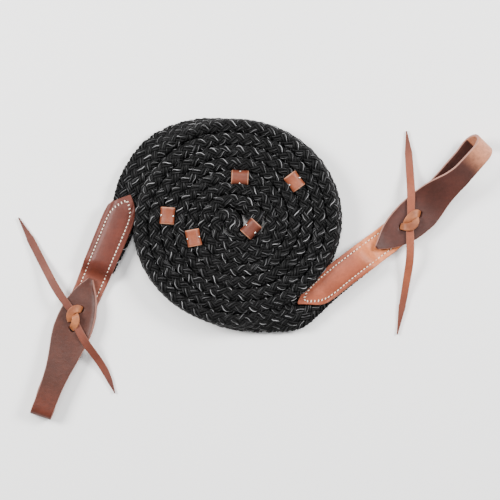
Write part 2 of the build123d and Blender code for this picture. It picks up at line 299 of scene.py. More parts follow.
@dataclass(frozen=True)
class Yarn:
    """Spun plastic yarn of the braid, near black, with streaks of painted glint: paler colour standing in for the
    light caught along its fibres.
    """

    name: str
    dark: Colour
    pale: Colour
    glint_colour: Colour
    glints_from: float     # noise level from which a streak of painted glint shows
    roughness: float
    shine: float
    fibre_scale: float = 1500.0
    glint_scale: float = 900.0
    patch_scale: float = 180.0
    glint_soft: float = 0.06
    relief: float = 0.00022   # in metres

    def material(self) -> bpy.types.Material:
        """The finish as a material.

        Returns:
            The material.
        """
        graph = Graph(self.name)
        fibre = graph.attribute("fibre").outputs["Vector"]
        body = graph.noise(graph.scaled(fibre, (0.12, 1.0, 1.0)), self.fibre_scale, 3.0)
        strand = graph.noise(graph.scaled(fibre, (0.5, 0.6, 0.6)), self.patch_scale, 2.0)
        # painted glint: thin paler streaks in the colour, standing in for highlights along the fibres
        glint = graph.noise(graph.scaled(fibre, (0.10, 1.0, 1.0)), self.glint_scale, 1.0)
        stroke = glint.step(self.glints_from, self.glints_from + self.glint_soft)
        broken = strand.step(0.44, 0.58)
        base = graph.tint(body.step(0.35, 0.75), self.dark, self.pale)
        base = graph.tint(stroke * broken, base, self.glint_colour)
        graph.bump(body + stroke * 0.4, self.relief, 0.9)
        rough = self.roughness + body * 0.18 - stroke * broken * 0.12
        return graph.dress(Base_Color=base, Roughness=rough, Specular_IOR_Level=self.shine)


@dataclass(frozen=True)
class Leather:
    """Oiled harness leather: mottled grain side, pores and creases with painted shade in their grooves, and a raw
    cut rim.
    """

    name: str
    deep: Colour
    light: Colour
    rim: Colour
    far: Colour = (0.0, 0.0, 0.0)    # colour that it grades to along the piece
    far_from: float = 900.0          # stations where the grading starts and ends, past every piece unless set
    far_to: float = 901.0
    roughness: float = 0.46
    shine: float = 0.34
    crease: float = 0.4
    cloud_scale: float = 70.0        # noise scales, per metre
    wrinkle_scale: float = 240.0
    mottle_scale: float = 420.0
    pore_scale: float = 2300.0
    relief: float = 0.00035          # in metres
    spot_and_crease_shade_keep: float = 0.62               # share of its brightness that a dark spot keeps, and the painted shade in the creases' grooves

    def material(self) -> bpy.types.Material:
        """The finish as a material.

        Returns:
            The material.
        """
        graph = Graph(self.name)
        place = graph.place()
        cloud = graph.noise(place, self.cloud_scale, 3.0)
        mottle = graph.noise(place, self.mottle_scale, 4.0)
        grain = graph.cells(place, self.pore_scale)
        wrinkle = graph.noise(graph.scaled(place, (1.0, 1.6, 1.0)), self.wrinkle_scale, 5.0)
        crease = 1.0 - wrinkle.step(0.44, 0.52)
        edge = graph.value("ShaderNodeAttribute", {"attribute_name": "rim"}, {}, 2)
        station = graph.value("ShaderNodeAttribute", {"attribute_name": "station"}, {}, 2)
        base = graph.tint(cloud.step(0.3, 0.7), self.deep, self.light)
        far = station.step(self.far_from, self.far_to)
        base = graph.tint(far * (0.75 + cloud * 0.25), base, self.far)
        darker = tuple(part * self.spot_and_crease_shade_keep for part in self.deep)
        base = graph.tint((mottle - 0.42) * 0.9, base, darker)
        # painted shade: darker colour along the grooves of the creases' relief
        base = graph.tint(crease * self.crease * 0.25, base, darker)
        worn = (edge + (mottle - 0.5) * 0.5).step(0.35, 0.8)
        base = graph.tint(worn, base, self.rim)
        relief = grain * 0.35 + mottle * 0.45 + wrinkle * self.crease
        graph.bump(relief, self.relief, 0.55)
        rough = self.roughness + mottle * 0.2 + worn * 0.15 - 0.08
        return graph.dress(Base_Color=base, Roughness=rough, Specular_IOR_Level=self.shine)


@dataclass(frozen=True)
class Thread:
    """Waxed cream sewing thread with a fine twist; in dark colours it is also the painted shade of the needle and
    lace holes.
    """

    name: str
    light: Colour
    shade: Colour

    def material(self) -> bpy.types.Material:
        """The finish as a material.

        Returns:
            The material.
        """
        graph = Graph(self.name)
        fleck = graph.noise(graph.place(), 1600.0, 2.0)
        base = graph.tint(fleck.step(0.35, 0.7), self.light, self.shade)
        graph.bump(fleck, 0.00015, 0.8)
        return graph.dress(Base_Color=base, Roughness=0.5 + fleck * 0.2)


@dataclass(frozen=True)
class Metal:
    """Nickel tack heads, a little tarnished."""

    name: str
    bright: Colour
    dull: Colour

    def material(self) -> bpy.types.Material:
        """The finish as a material.

        Returns:
            The material.
        """
        graph = Graph(self.name)
        fleck = graph.noise(graph.place(), 1200.0, 3.0)
        base = graph.tint(fleck.step(0.4, 0.7), self.bright, self.dull)
        graph.bump(fleck, 0.00005, 0.4)
        return graph.dress(Base_Color=base, Roughness=0.2 + fleck * 0.15, Metallic=1.0)


@dataclass(frozen=True)
class Paper:
    """White sweep of the studio table."""

    name: str
    white: Colour

    def material(self) -> bpy.types.Material:
        """The finish as a material.

        Returns:
            The material.
        """
        return Graph(self.name).dress(Base_Color=self.white, Roughness=0.9)


class Finishes:
    """Every finish of the reins, made once."""

    def __init__(self) -> None:
        """Makes the materials."""
        # the black yarn's third colour is a faint painted glint
        self.yarn = Yarn("black_yarn", (0.0014, 0.0014, 0.0015), (0.0062, 0.0062, 0.0066),
                         (0.055, 0.055, 0.057), 0.63, 0.55, 0.13).material()
        # grey tubes along the strands are painted glints: light grey standing in for highlights, fainter on the
        # strands of the other direction
        self.bright_glint_tubes = Yarn("grey_tracer", (0.014, 0.014, 0.0145), (0.110, 0.110, 0.114),
                           (0.32, 0.32, 0.33), 0.44, 0.4, 0.3).material()
        self.faint_tracer = Yarn("faint_tracer", (0.004, 0.004, 0.0042), (0.025, 0.025, 0.026),
                                 (0.13, 0.13, 0.134), 0.48, 0.45, 0.25).material()
        self.core = Yarn("core_yarn", (0.001, 0.001, 0.001), (0.003, 0.003, 0.003),
                         (0.006, 0.006, 0.006), 0.7, 0.9, 0.05).material()
        self.left_strap = Leather(
            "left_strap_leather", (0.044, 0.0108, 0.0056), (0.063, 0.0158, 0.0082), (0.24, 0.105, 0.078),
            (0.094, 0.0187, 0.0090), 355.0, 384.0, crease=0.7).material()
        # far colour of the right strap: a painted highlight on the top of the loop's end
        self.right_strap = Leather(
            "right_strap_leather", (0.042, 0.0118, 0.0080), (0.062, 0.0172, 0.0118), (0.30, 0.140, 0.105),
            (0.52, 0.205, 0.110), 362.0, 381.0, crease=0.5).material()
        # far colour of both facings: a painted highlight that grades in towards the step and past it
        self.left_facing = Leather(
            "left_facing_leather", (0.076, 0.0140, 0.0072), (0.108, 0.0215, 0.0112), (0.19, 0.066, 0.042),
            (0.200, 0.0540, 0.0300), 60.0, 84.0).material()
        self.right_facing = Leather(
            "right_facing_leather", (0.205, 0.0450, 0.0185), (0.290, 0.0700, 0.0315), (0.34, 0.135, 0.080),
            (0.620, 0.1900, 0.0660), 50.0, 70.0).material()
        self.left_lace = Leather(
            "left_lace_leather", (0.100, 0.0230, 0.0120), (0.145, 0.0370, 0.0200), (0.24, 0.100, 0.066),
            (0.060, 0.0150, 0.0105), 60.0, 100.0, roughness=0.55).material()
        self.right_lace = Leather(
            "right_lace_leather", (0.175, 0.0400, 0.0170), (0.240, 0.0620, 0.0270), (0.30, 0.125, 0.075),
            (0.085, 0.0210, 0.0125), 45.0, 95.0, roughness=0.55).material()
        self.knot = Leather(
            "knot_leather", (0.165, 0.0440, 0.0140), (0.370, 0.1300, 0.0500), (0.34, 0.120, 0.046),
            roughness=0.5).material()
        self.grip_red = Leather(
            "red_grip_leather", (0.085, 0.0185, 0.0088), (0.130, 0.0315, 0.0148), (0.36, 0.150, 0.085)).material()
        self.grip_tan = Leather(
            "tan_grip_leather", (0.160, 0.0370, 0.0150), (0.230, 0.0610, 0.0255), (0.44, 0.190, 0.110)).material()
        self.thread = Thread("cream_thread", (0.86, 0.78, 0.66), (0.62, 0.50, 0.38)).material()
        # dark finish for the holes: painted shade
        self.hole = Thread("needle_hole", (0.030, 0.012, 0.008), (0.012, 0.006, 0.004)).material()
        self.tack = Metal("nickel_tack", (0.90, 0.88, 0.84), (0.62, 0.58, 0.52)).material()
        self.paper = Paper("white_paper", (0.95, 0.95, 0.95)).material()


# ---------------------------------------------------------------- shaping helpers

def between(table: Table, place: float) -> float:
    """Value of a (place, value) table, straight between its rows.

    Args:
        table: The rows.
        place: Where to read it.

    Returns:
        The value there.
    """
    return float(np.interp(place, [row[0] for row in table], [row[1] for row in table]))


def eased(table: Table, place: float, reach: float) -> float:
    """Value of a table with its corners rounded.

    Args:
        table: The rows.
        place: Where to read it.
        reach: How far to each side the corners are rounded.

    Returns:
        The rounded value there.
    """
    steps = np.linspace(-reach, reach, 9)
    return float(np.mean([between(table, place + step) for step in steps]))


def ease(share: float) -> float:
    """Smooth step of a share from 0 to 1."""
    held = min(max(share, 0.0), 1.0)
    return held * held * (3.0 - 2.0 * held)


def heading_vector(heading: float) -> Vector:
    """Unit vector on the ground at a heading in degrees."""
    return Vector((math.cos(math.radians(heading)), math.sin(math.radians(heading)), 0.0))


def route_line(points: Sequence[Vector], fineness: int = 12) -> np.ndarray:
    """Points of the smooth line that a set of control points draws.

    Args:
        points: Control points, in millimetres.
        fineness: Steps between control points.

    Returns:
        The line's points in order, in millimetres.
    """
    curve = bpy.data.curves.new("route", "CURVE")
    curve.dimensions = "3D"
    spline = curve.splines.new("NURBS")
    spline.points.add(len(points) - 1)
    for place, point in zip(spline.points, points):
        place.co = (*(point * MM), 1.0)
    spline.order_u = 3
    spline.use_endpoint_u = True
    spline.resolution_u = fineness
    holder = bpy.data.objects.new("route", curve)
    bpy.context.scene.collection.objects.link(holder)
    graph = bpy.context.evaluated_depsgraph_get()
    mesh = bpy.data.meshes.new_from_object(holder.evaluated_get(graph))
    line = np.array([vertex.co for vertex in mesh.vertices], float) / MM
    bpy.data.objects.remove(holder)
    bpy.data.curves.remove(curve)
    bpy.data.meshes.remove(mesh)
    return line


def even_line(line: np.ndarray, step: float) -> np.ndarray:
    """A line's points at even distances along it.

    Args:
        line: The line's points.
        step: Distance between the new points, in millimetres.

    Returns:
        The even points.
    """
    lengths = np.linalg.norm(np.diff(line, axis=0), axis=1)
    along = np.concatenate([[0.0], np.cumsum(lengths)])
    stations = np.arange(0.0, along[-1], step)
    return np.stack([np.interp(stations, along, line[:, axis]) for axis in range(3)], axis=1)


class Maker:
    """Turns a finished bmesh into a piece of the reins."""

    @staticmethod
    def piece(name: str, mesh: bmesh.types.BMesh, materials: Sequence[bpy.types.Material],
              turn_out: bool = True) -> bpy.types.Object:
        """Writes a bmesh, in millimetres, into a new object at the origin.

        Args:
            name: The piece's name.
            mesh: Its shape, which is freed.
            materials: Its materials, in slot order.
            turn_out: Whether its faces are turned outwards first.

        Returns:
            The piece.
        """
        if turn_out:
            bmesh.ops.recalc_face_normals(mesh, faces=mesh.faces)
        bmesh.ops.scale(mesh, vec=Vector((MM, MM, MM)), verts=mesh.verts)
        for face in mesh.faces:
            face.smooth = True
        data = bpy.data.meshes.new(name)
        mesh.to_mesh(data)
        mesh.free()
        for material in materials:
            data.materials.append(material)
        piece = bpy.data.objects.new(name, data)
        bpy.context.scene.collection.objects.link(piece)
        LOG.info("%s: %d faces", name, len(data.polygons))
        return piece

    @staticmethod
    def apply_modifiers(piece: bpy.types.Object) -> bpy.types.Object:
        """Makes a piece's modifiers part of its mesh.

        Args:
            piece: The piece.

        Returns:
            The same piece.
        """
        graph = bpy.context.evaluated_depsgraph_get()
        mesh = bpy.data.meshes.new_from_object(piece.evaluated_get(graph))
        piece.modifiers.clear()
        old = piece.data
        piece.data = mesh
        bpy.data.meshes.remove(old)
        mesh.name = piece.name
        return piece


@dataclass(frozen=True)
class Profile:
    """Cross-section of a flat leather strip: a crowned top, a flat back and two rounded cut rims."""

    across: int = 19          # points over the top, and as many underneath
    rim_round: float = 0.28   # share of the thickness taken by each rim's rounding
    crowding: float = 0.92    # how much closer the points lie towards the rims

    def ring(self, half_width: float, thickness: float,
             relief: Callable[[float], float]) -> list[tuple[float, float]]:
        """The section's outline.

        Args:
            half_width: Half of the strip's width.
            thickness: Its thickness.
            relief: Height added to the top at a distance from the middle.

        Returns:
            Pairs of sideways and upwards distance from the section's middle.
        """
        half = thickness / 2
        soft = min(thickness * self.rim_round, half_width * 0.4)
        quarter = math.pi / 2 * self.crowding
        shares = np.sin(np.linspace(-quarter, quarter, self.across)) / math.sin(quarter)
        top = [(share * (half_width - soft), half + relief(share * (half_width - soft)))
               for share in shares]
        drop = relief(half_width)
        right = [(half_width - soft * 0.3, half + drop - soft * 0.3), (half_width, half + drop - soft),
                 (half_width, -half + soft), (half_width - soft * 0.3, -half + soft * 0.3)]
        left = [(-x, z) for x, z in reversed(right)]
        low = [(-share * (half_width - soft), -half) for share in shares]
        return top + right + low + left

    def rims(self) -> list[float]:
        """How much each point of the outline belongs to a cut rim, from 0 to 1."""
        side = [0.55, 1.0, 1.0, 0.8]
        top = [0.1] + [0.0] * (self.across - 2) + [0.1]
        return top + side + [0.1] + [0.0] * (self.across - 2) + [0.1] + side[::-1]


@dataclass(frozen=True)
class Section:
    """One place along a strip: its frame and its outline."""

    origin: Vector
    across: Vector
    normal: Vector
    outline: list[tuple[float, float]]
    station: float

    def ring(self) -> Ring:
        """The outline's points in space."""
        return [self.origin + self.across * x + self.normal * z for x, z in self.outline]


def lofted(rings: Sequence[Ring], rims: Sequence[Sequence[float]], stations: Sequence[float],
           joined: bool = False) -> bmesh.types.BMesh:
    """Extrudes a closed outline from ring to ring.

    Args:
        rings: The outline's points at each ring, as many in every one.
        rims: How much each point of each ring belongs to a cut rim.
        stations: Place of each ring along the piece.
        joined: Whether the last ring is joined to the first, in place of a face over each end.

    Returns:
        The closed shape, with its point attributes "rim" and "station".
    """
    mesh = bmesh.new()
    slot = mesh.verts.layers.int.new("slot")
    rim = mesh.verts.layers.float.new("rim")
    station = mesh.verts.layers.float.new("station")
    fresh = [mesh.verts.new(point) for point in rings[0]]
    for index, vertex in enumerate(fresh):
        vertex[slot] = index
    first = [mesh.edges.new((fresh[index - 1], fresh[index])) for index in range(len(fresh))]
    edges = first
    for number, ring in enumerate(rings):
        if number:
            made = bmesh.ops.extrude_edge_only(mesh, edges=edges)["geom"]
            fresh = [item for item in made if isinstance(item, bmesh.types.BMVert)]
            ends = set(fresh)
            edges = [item for item in made if isinstance(item, bmesh.types.BMEdge) and ends.issuperset(item.verts)]
        for vertex in fresh:
            vertex.co = ring[vertex[slot]]
            vertex[rim] = rims[number][vertex[slot]]
            vertex[station] = stations[number]
    if joined:
        bmesh.ops.bridge_loops(mesh, edges=first + edges)
    else:
        bmesh.ops.contextual_create(mesh, geom=first)
        bmesh.ops.contextual_create(mesh, geom=edges)
    mesh.verts.layers.int.remove(mesh.verts.layers.int["slot"])
    return mesh


def extruded(sections: Sequence[Section], rims: Sequence[float]) -> bmesh.types.BMesh:
    """Makes a closed strip from its sections.

    Args:
        sections: The sections in order, with outlines of the same count.
        rims: How much each outline point belongs to a cut rim.

    Returns:
        The strip.
    """
    return lofted([section.ring() for section in sections], [rims] * len(sections),
                  [section.station for section in sections])


# ---------------------------------------------------------------- braided rein

@dataclass(frozen=True)
class EndPlan:
    """Where one leather end lies and how its loop and laces are set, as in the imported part."""

    side: Side
    mouth: tuple[float, float]
    heading: float
    loop_heading: float
    loop_height: float
    roll: float
    tip_curl: float
    rim_curl: float
    lace_up: tuple[tuple[float, float, float], ...]
    lace_down: tuple[tuple[float, float, float], ...]
    up_root: tuple[float, float, float]
    down_root: tuple[float, float, float]
    up_widths: Table
    down_widths: Table
    knot_bands: tuple[tuple[tuple[tuple[float, float, float], ...], Table], ...]
    strap_length: float
    aside: Table              # station, distance that the end lies off its straight line
    flap_aside: Table         # and that the flap lies off the leathers under it
    pocket_aside: Table       # and that the braid lies off the leathers over and under it
    knot_aside: float
    coil_edge: Table          # edges of the facing: station, distance across
    outer_edge: Table
    stitch_corners: Table
    bend_at: float = 118.0    # station where the strap turns to the loop's heading
    bend_reach: float = 10.0
    roll_run: float = 40.0    # length over which the strap rolls on to its side
    loop_width: float = 15.6

    @property
    def name(self) -> str:
        """Name of the end, at the start of its pieces' names."""
        return self.side.value

    def forward(self, station: float) -> Vector:
        """Unit vector along the strap at a station, turning smoothly at its bend."""
        share = ease((station - self.bend_at + self.bend_reach) / (2 * self.bend_reach))
        return heading_vector(self.heading + (self.loop_heading - self.heading) * share)

    def centre(self, station: float) -> Vector:
        """Ground point under the strap's middle at a station."""
        before = min(station, self.bend_at)
        after = max(station - self.bend_at, 0.0)
        start = Vector((self.mouth[0], self.mouth[1], 0.0))
        middle = start + heading_vector(self.heading) * before + heading_vector(self.loop_heading) * after
        return middle + self.forward(station).cross(UP) * eased(self.aside, station, 4.0)

    def lean(self, station: float) -> float:
        """How far the strap leans over at a station, in radians."""
        return math.radians(self.roll * ease((station - self.bend_at) / self.roll_run))

    def frame(self, station: float, height: float, pitch: float = 0.0) -> tuple[Vector, Vector, Vector]:
        """Frame across the strap.

        Args:
            station: Place along the strap from the facing's tip.
            height: Height over the strap's own bottom.
            pitch: Climb of the leather, in radians.

        Returns:
            Its origin, the direction across, and the direction out of the leather.
        """
        ahead = self.forward(station)
        out = ahead.cross(UP)
        lean = self.lean(station)
        normal = UP * math.cos(lean) + out * math.sin(lean)
        across = out * math.cos(lean) - UP * math.sin(lean)
        lift = self.loop_width / 2 * math.sin(lean)
        aside = out * (-self.loop_height / 2 * math.sin(lean))
        origin = self.centre(station) + UP * lift + aside + normal * height
        face = normal * math.cos(pitch) - ahead * math.sin(pitch)
        return origin, across, face


@dataclass(frozen=True)
class ArmPlan:
    """Route of one half of the rein: loose middle, coil turns, then out to its leather end."""

    side: Side
    start: float
    middle: tuple[tuple[float, float], ...]
    first: float
    peel: float
    loose: Table              # winding angle, outward slack of the middle turns
    lean: Table               # winding angle, degrees that the braid's top leans inwards
    tail: tuple[tuple[float, float, float], ...]
    grips: tuple[str, ...]
    tipping: float            # how late the braid tips over on its way to the leather
    hook: Table               # distance from the rein's middle, degrees leaned in the hook there
    pitch: float = 19.53      # growth of the radius in one turn
    oval: float = 1.7
    shift_x: float = 0.97
    shift_y: float = -0.85
    level: float = 10.25
    top_round: float = 5.4    # height over the middle of the rounded top edge, which keeps its place
    point_every: float = 14.0     # degrees between the route's points in the coil
    loose_reach: float = 30.0     # degrees over which the tables' corners are rounded
    lean_reach: float = 10.0
    pocket_stations: tuple[float, ...] = (-10.3, 2.0, 20.0, 40.0, 61.0)

    def coil_point(self, angle: float) -> Vector:
        """Point of the coil's turns at a winding angle in degrees."""
        turn = math.radians(angle)
        radius = self.start + self.pitch * angle / 360.0 + eased(self.loose, angle, self.loose_reach)
        radius += self.top_round * math.sin(math.radians(eased(self.lean, angle, self.lean_reach)))
        radius += self.oval * math.cos(2 * turn) + self.shift_x * math.cos(turn)
        radius += self.shift_y * math.sin(turn)
        return Vector((radius * math.cos(turn), radius * math.sin(turn), self.level))

    def control_points(self, heart: Vector, end: EndPlan) -> list[Vector]:
        """The route's control points, from the middle of the rein to the end of the braid.

        Args:
            heart: Middle of the rein, under the middle grip.
            end: The leather end that the braid runs into.

        Returns:
            The points in order.
        """
        points = [heart] + [Vector((x, y, self.level)) for x, y in self.middle]
        turns = int(round((self.peel - self.first) / self.point_every))
        for index in range(turns + 1):
            points.append(self.coil_point(self.first + (self.peel - self.first) * index / turns))
        points += [Vector(point) for point in self.tail]
        for station in self.pocket_stations:
            aside = end.forward(station).cross(UP) * between(end.pocket_aside, station)
            points.append(end.centre(station) + aside + UP * FlatBraid.pocket_level)
        return points


@dataclass
class FlatBraid:
    """Twelve-strand flat braid over three core yarns, laid along one arm of the rein.

    Six strands wind one way and six the other, each of three yarns, passing over and under in turn.
    """

    plan: ArmPlan
    end: EndPlan
    heart: Vector                 # middle of the rein
    finishes: Finishes
    strands: int = 6              # in each direction
    round_length: float = 63.0    # length in which a strand goes once round
    yarn_radius: float = 0.94
    yarn_spread: float = 0.305    # between a strand's yarns, as a share of the strand spacing
    rise: float = 0.98            # how far a strand rises and dips
    crossing: float = 2.2         # how abruptly it does
    crown: float = 0.16
    step: float = 1.05
    phase: float = 1.0 / 24.0     # the two directions meet along the narrow edge
    full_width: float = 20.5
    full_thick: float = 9.7
    pocket_width: float = 23.6
    pocket_thick: float = 7.0
    pocket_level: float = 6.0
    hinge_station: float = -6.0
    core_radius: float = 2.4
    core_inset: float = 4.9       # of the outer core yarns from the braid's edges
    glint_tube_radius: float = 0.27
    sides: int = 6
    line: np.ndarray = field(init=False)
    stations: np.ndarray = field(init=False)
    across: np.ndarray = field(init=False)
    normal: np.ndarray = field(init=False)
    width: np.ndarray = field(init=False)
    thick: np.ndarray = field(init=False)
    peel: int = field(init=False)
    hinge: int = field(init=False)

    def __post_init__(self) -> None:
        """Reads the arm's line and works out the frame at each of its stations."""
        self.line = even_line(route_line(self.plan.control_points(self.heart, self.end)), self.step)
        self.stations = np.arange(len(self.line)) * self.step
        self.peel = self.nearest(self.plan.coil_point(self.plan.peel))
        self.hinge = self.nearest(self.end.centre(self.hinge_station) + UP * self.pocket_level)
        self._frames()

    def nearest(self, point: Vector) -> int:
        """Index of the station closest to a point on the ground plan."""
        gaps = np.hypot(self.line[:, 0] - point.x, self.line[:, 1] - point.y)
        return int(np.argmin(gaps))

    def _windings(self) -> np.ndarray:
        """Winding angle of every station, held at the peel's past it."""
        place = np.unwrap(np.arctan2(self.line[:, 1], self.line[:, 0]))
        place = np.degrees(place - place[self.peel]) + self.plan.peel
        return np.minimum(place, self.plan.peel)

    def _frames(self) -> None:
        """Works out the width and thickness directions and sizes of every station."""
        ahead = np.gradient(self.line, axis=0)
        ahead[:, 2] = 0.0
        ahead /= np.linalg.norm(ahead, axis=1)[:, None]
        out = np.stack([ahead[:, 1], -ahead[:, 0], np.zeros(len(ahead))], axis=1)
        place = np.arange(len(self.line))
        share = np.clip((place - self.peel) / (self.hinge - self.peel), 0.0, 1.0)
        lean = np.array([eased(self.plan.lean, angle, self.plan.lean_reach) for angle in self._windings()])
        lean += np.array([eased(self.plan.hook, along, 3.0) for along in self.stations])
        tip = np.radians(lean * (1.0 - share) + 90.0 * share ** self.plan.tipping)[:, None]
        up = np.array([[0.0, 0.0, 1.0]])
        self.across = up * np.cos(tip) - out * np.sin(tip)
        self.normal = up * np.sin(tip) + out * np.cos(tip)
        flat = share * share * (3.0 - 2.0 * share)
        self.width = self.full_width + (self.pocket_width - self.full_width) * flat
        self.thick = self.full_thick + (self.pocket_thick - self.full_thick) * flat

    def _outline(self, turn: np.ndarray, lift: np.ndarray, low: int, high: int) -> np.ndarray:
        """Points round the braid's rounded section.

        Args:
            turn: Place round the section at each station, in turns from the narrow edge.
            lift: Distance out from the middle of the strand layer.
            low: First station.
            high: Station after the last.

        Returns:
            The points in space, in millimetres.
        """
        reach = 2.0 * (self.rise + self.yarn_radius)
        wide = self.width[low:high] - reach
        radius = (self.thick[low:high] - reach) / 2.0
        half = wide / 2.0 - radius
        arc = math.pi * radius / 2.0
        around = (turn % 1.0) * (4.0 * half + 4.0 * arc)
        edges = [arc, arc + 2 * half, 3 * arc + 2 * half, 3 * arc + 4 * half]
        angle = np.select(
            [around < edges[0], around < edges[1], around < edges[2], around < edges[3]],
            [around / radius, np.full_like(around, math.pi / 2),
             math.pi / 2 + (around - edges[1]) / radius, np.full_like(around, 1.5 * math.pi)],
            1.5 * math.pi + (around - edges[3]) / radius)
        middle = np.select(
            [around < edges[0], around < edges[1], around < edges[2], around < edges[3]],
            [half, half - (around - edges[0]), -half, -half + (around - edges[2])], half)
        along = middle + (radius + lift) * np.cos(angle)
        aside = (radius + lift) * np.sin(angle)
        return (self.line[low:high] + self.across[low:high] * along[:, None]
                + self.normal[low:high] * aside[:, None])

    def _over(self, swing: np.ndarray) -> np.ndarray:
        """How far a strand lies over the other direction, from -1 to 1, after so many half waves."""
        return np.tanh(self.crossing * np.cos(math.pi * swing)) / math.tanh(self.crossing)

    def _strand(self, way: int, strand: int, yarn: int, low: int, high: int) -> np.ndarray:
        """Middle line of one yarn.

        Args:
            way: 1 or -1, the direction it winds.
            strand: Which strand of that direction.
            yarn: -1, 0 or 1, its place in the strand.
            low: First station.
            high: Station after the last.

        Returns:
            The line's points in space, in millimetres.
        """
        along = self.stations[low:high]
        aside = yarn * self.yarn_spread
        swing = 2.0 * self.strands * along / self.round_length + way * aside
        over = self._over(swing)
        turn = (way * along / self.round_length) + (strand + aside) / self.strands + self.phase
        wander = 0.1 * np.sin(along * 0.37 + 2.1 * strand + 1.3 * yarn + way)
        lift = way * self.rise * over + self.crown * (1 - abs(yarn)) + wander
        return self._outline(turn, lift, low, high)

    def _glint_line(self, way: int, strand: int, low: int, high: int) -> np.ndarray:
        """Middle line of the thin pale tube that lies on a strand as a painted glint.

        Args:
            way: 1 or -1, the direction it winds.
            strand: Which strand of that direction.
            low: First station.
            high: Station after the last.

        Returns:
            The line's points in space, in millimetres.
        """
        along = self.stations[low:high]
        stray = 0.06 * np.sin(along * 0.9 + 1.7 * strand) + 0.07 * np.sin(along * 0.23 + strand + way)
        aside = way * 0.06 + stray
        swing = 2.0 * self.strands * along / self.round_length + way * aside
        over = self._over(swing)
        turn = (way * along / self.round_length) + (strand + aside) / self.strands + self.phase
        lift = way * self.rise * over + self.crown + self.yarn_radius - self.glint_tube_radius * 0.3
        return self._outline(turn, lift, low, high)

    def build(self, name: str, low: int, high: int) -> bpy.types.Object:
        """Makes the braid between two stations as one mesh of closed yarns.

        Args:
            name: The piece's name.
            low: First station.
            high: Last station.

        Returns:
            The piece.
        """
        high = min(high, len(self.line) - 1) + 1
        yarns = [(self._strand(way, strand, yarn, low, high), 0)
                 for way in (1, -1) for strand in range(self.strands) for yarn in (-1, 0, 1)]
        # thin pale tubes on the strands: painted glints
        yarns += [(self._glint_line(1, strand, low, high), 1) for strand in range(self.strands)]
        yarns += [(self._glint_line(-1, strand, low, high), 3) for strand in range(self.strands)]
        for place in (-1, 0, 1):
            spread = (self.width[low:high] / 2.0 - self.core_inset) * place
            yarns.append((self.line[low:high] + self.across[low:high] * spread[:, None], 2))
        curve = bpy.data.curves.new(name, "CURVE")
        curve.dimensions = "3D"
        curve.bevel_depth = self.yarn_radius * MM
        curve.bevel_resolution = 1
        curve.twist_mode = "Z_UP"
        materials = (self.finishes.yarn, self.finishes.bright_glint_tubes, self.finishes.core, self.finishes.faint_tracer)
        thickness = (1.0, self.glint_tube_radius / self.yarn_radius, self.core_radius / self.yarn_radius,
                     self.glint_tube_radius / self.yarn_radius)
        for material in materials:
            curve.materials.append(material)
        for line, finish in yarns:
            spline = curve.splines.new("POLY")
            spline.points.add(len(line) - 1)
            spline.points.foreach_set("co", np.hstack([line * MM, np.ones((len(line), 1))]).ravel())
            spline.points.foreach_set("radius", np.full(len(line), thickness[finish]))
            spline.material_index = finish
            spline.use_smooth = True
        piece = self._meshed(name, curve, len(yarns), high - low, low)
        for material in materials:
            if material.name not in piece.data.materials:
                piece.data.materials.append(material)
        LOG.info("%s: %d faces, %.0f mm", name, len(piece.data.polygons), (high - low) * self.step)
        return piece

    def _meshed(self, name: str, curve: bpy.types.Curve, yarns: int, points: int,
                low: int) -> bpy.types.Object:
        """Turns the yarns' curve into a mesh with closed ends and its "fibre" attribute.

        Args:
            name: The piece's name.
            curve: The yarns.
            yarns: How many there are.
            points: Points along each.
            low: First station.

        Returns:
            The piece.
        """
        holder = bpy.data.objects.new(name + "_yarns", curve)
        bpy.context.scene.collection.objects.link(holder)
        graph = bpy.context.evaluated_depsgraph_get()
        data = bpy.data.meshes.new_from_object(holder.evaluated_get(graph))
        bpy.data.objects.remove(holder)
        bpy.data.curves.remove(curve)
        turn = np.arange(self.sides) * 2 * math.pi / self.sides
        fibre = np.zeros((yarns, points, self.sides, 3), np.float32)
        along = (self.stations[low:low + points] * MM)[None, :, None]
        fibre[..., 0] = along + np.arange(yarns)[:, None, None] * 3.0
        fibre[..., 1] = np.cos(turn) * self.yarn_radius * MM
        fibre[..., 2] = np.sin(turn) * self.yarn_radius * MM
        attribute = data.attributes.new("fibre", "FLOAT_VECTOR", "POINT")
        attribute.data.foreach_set("vector", fibre.ravel())
        mesh = bmesh.new()
        mesh.from_mesh(data)
        rim = [edge for edge in mesh.edges if edge.is_boundary]
        bmesh.ops.holes_fill(mesh, edges=rim, sides=self.sides)
        bmesh.ops.recalc_face_normals(mesh, faces=mesh.faces)
        for face in mesh.faces:
            face.smooth = len(face.verts) == 4
        mesh.to_mesh(data)
        mesh.free()
        data.name = name
        piece = bpy.data.objects.new(name, data)
        bpy.context.scene.collection.objects.link(piece)
        return piece

    def declare(self, piece: bpy.types.Object, low: int, high: int, lay: str) -> None:
        """Works out the stretch of the braid's line under a piece, in metres, and does nothing more with it.

        Args:
            piece: The piece; not used.
            low: First station.
            high: Last station.
            lay: How it lies; not used.
        """
        path = self.line[low:min(high, len(self.line) - 1) + 1] * MM
        self.full_width * MM


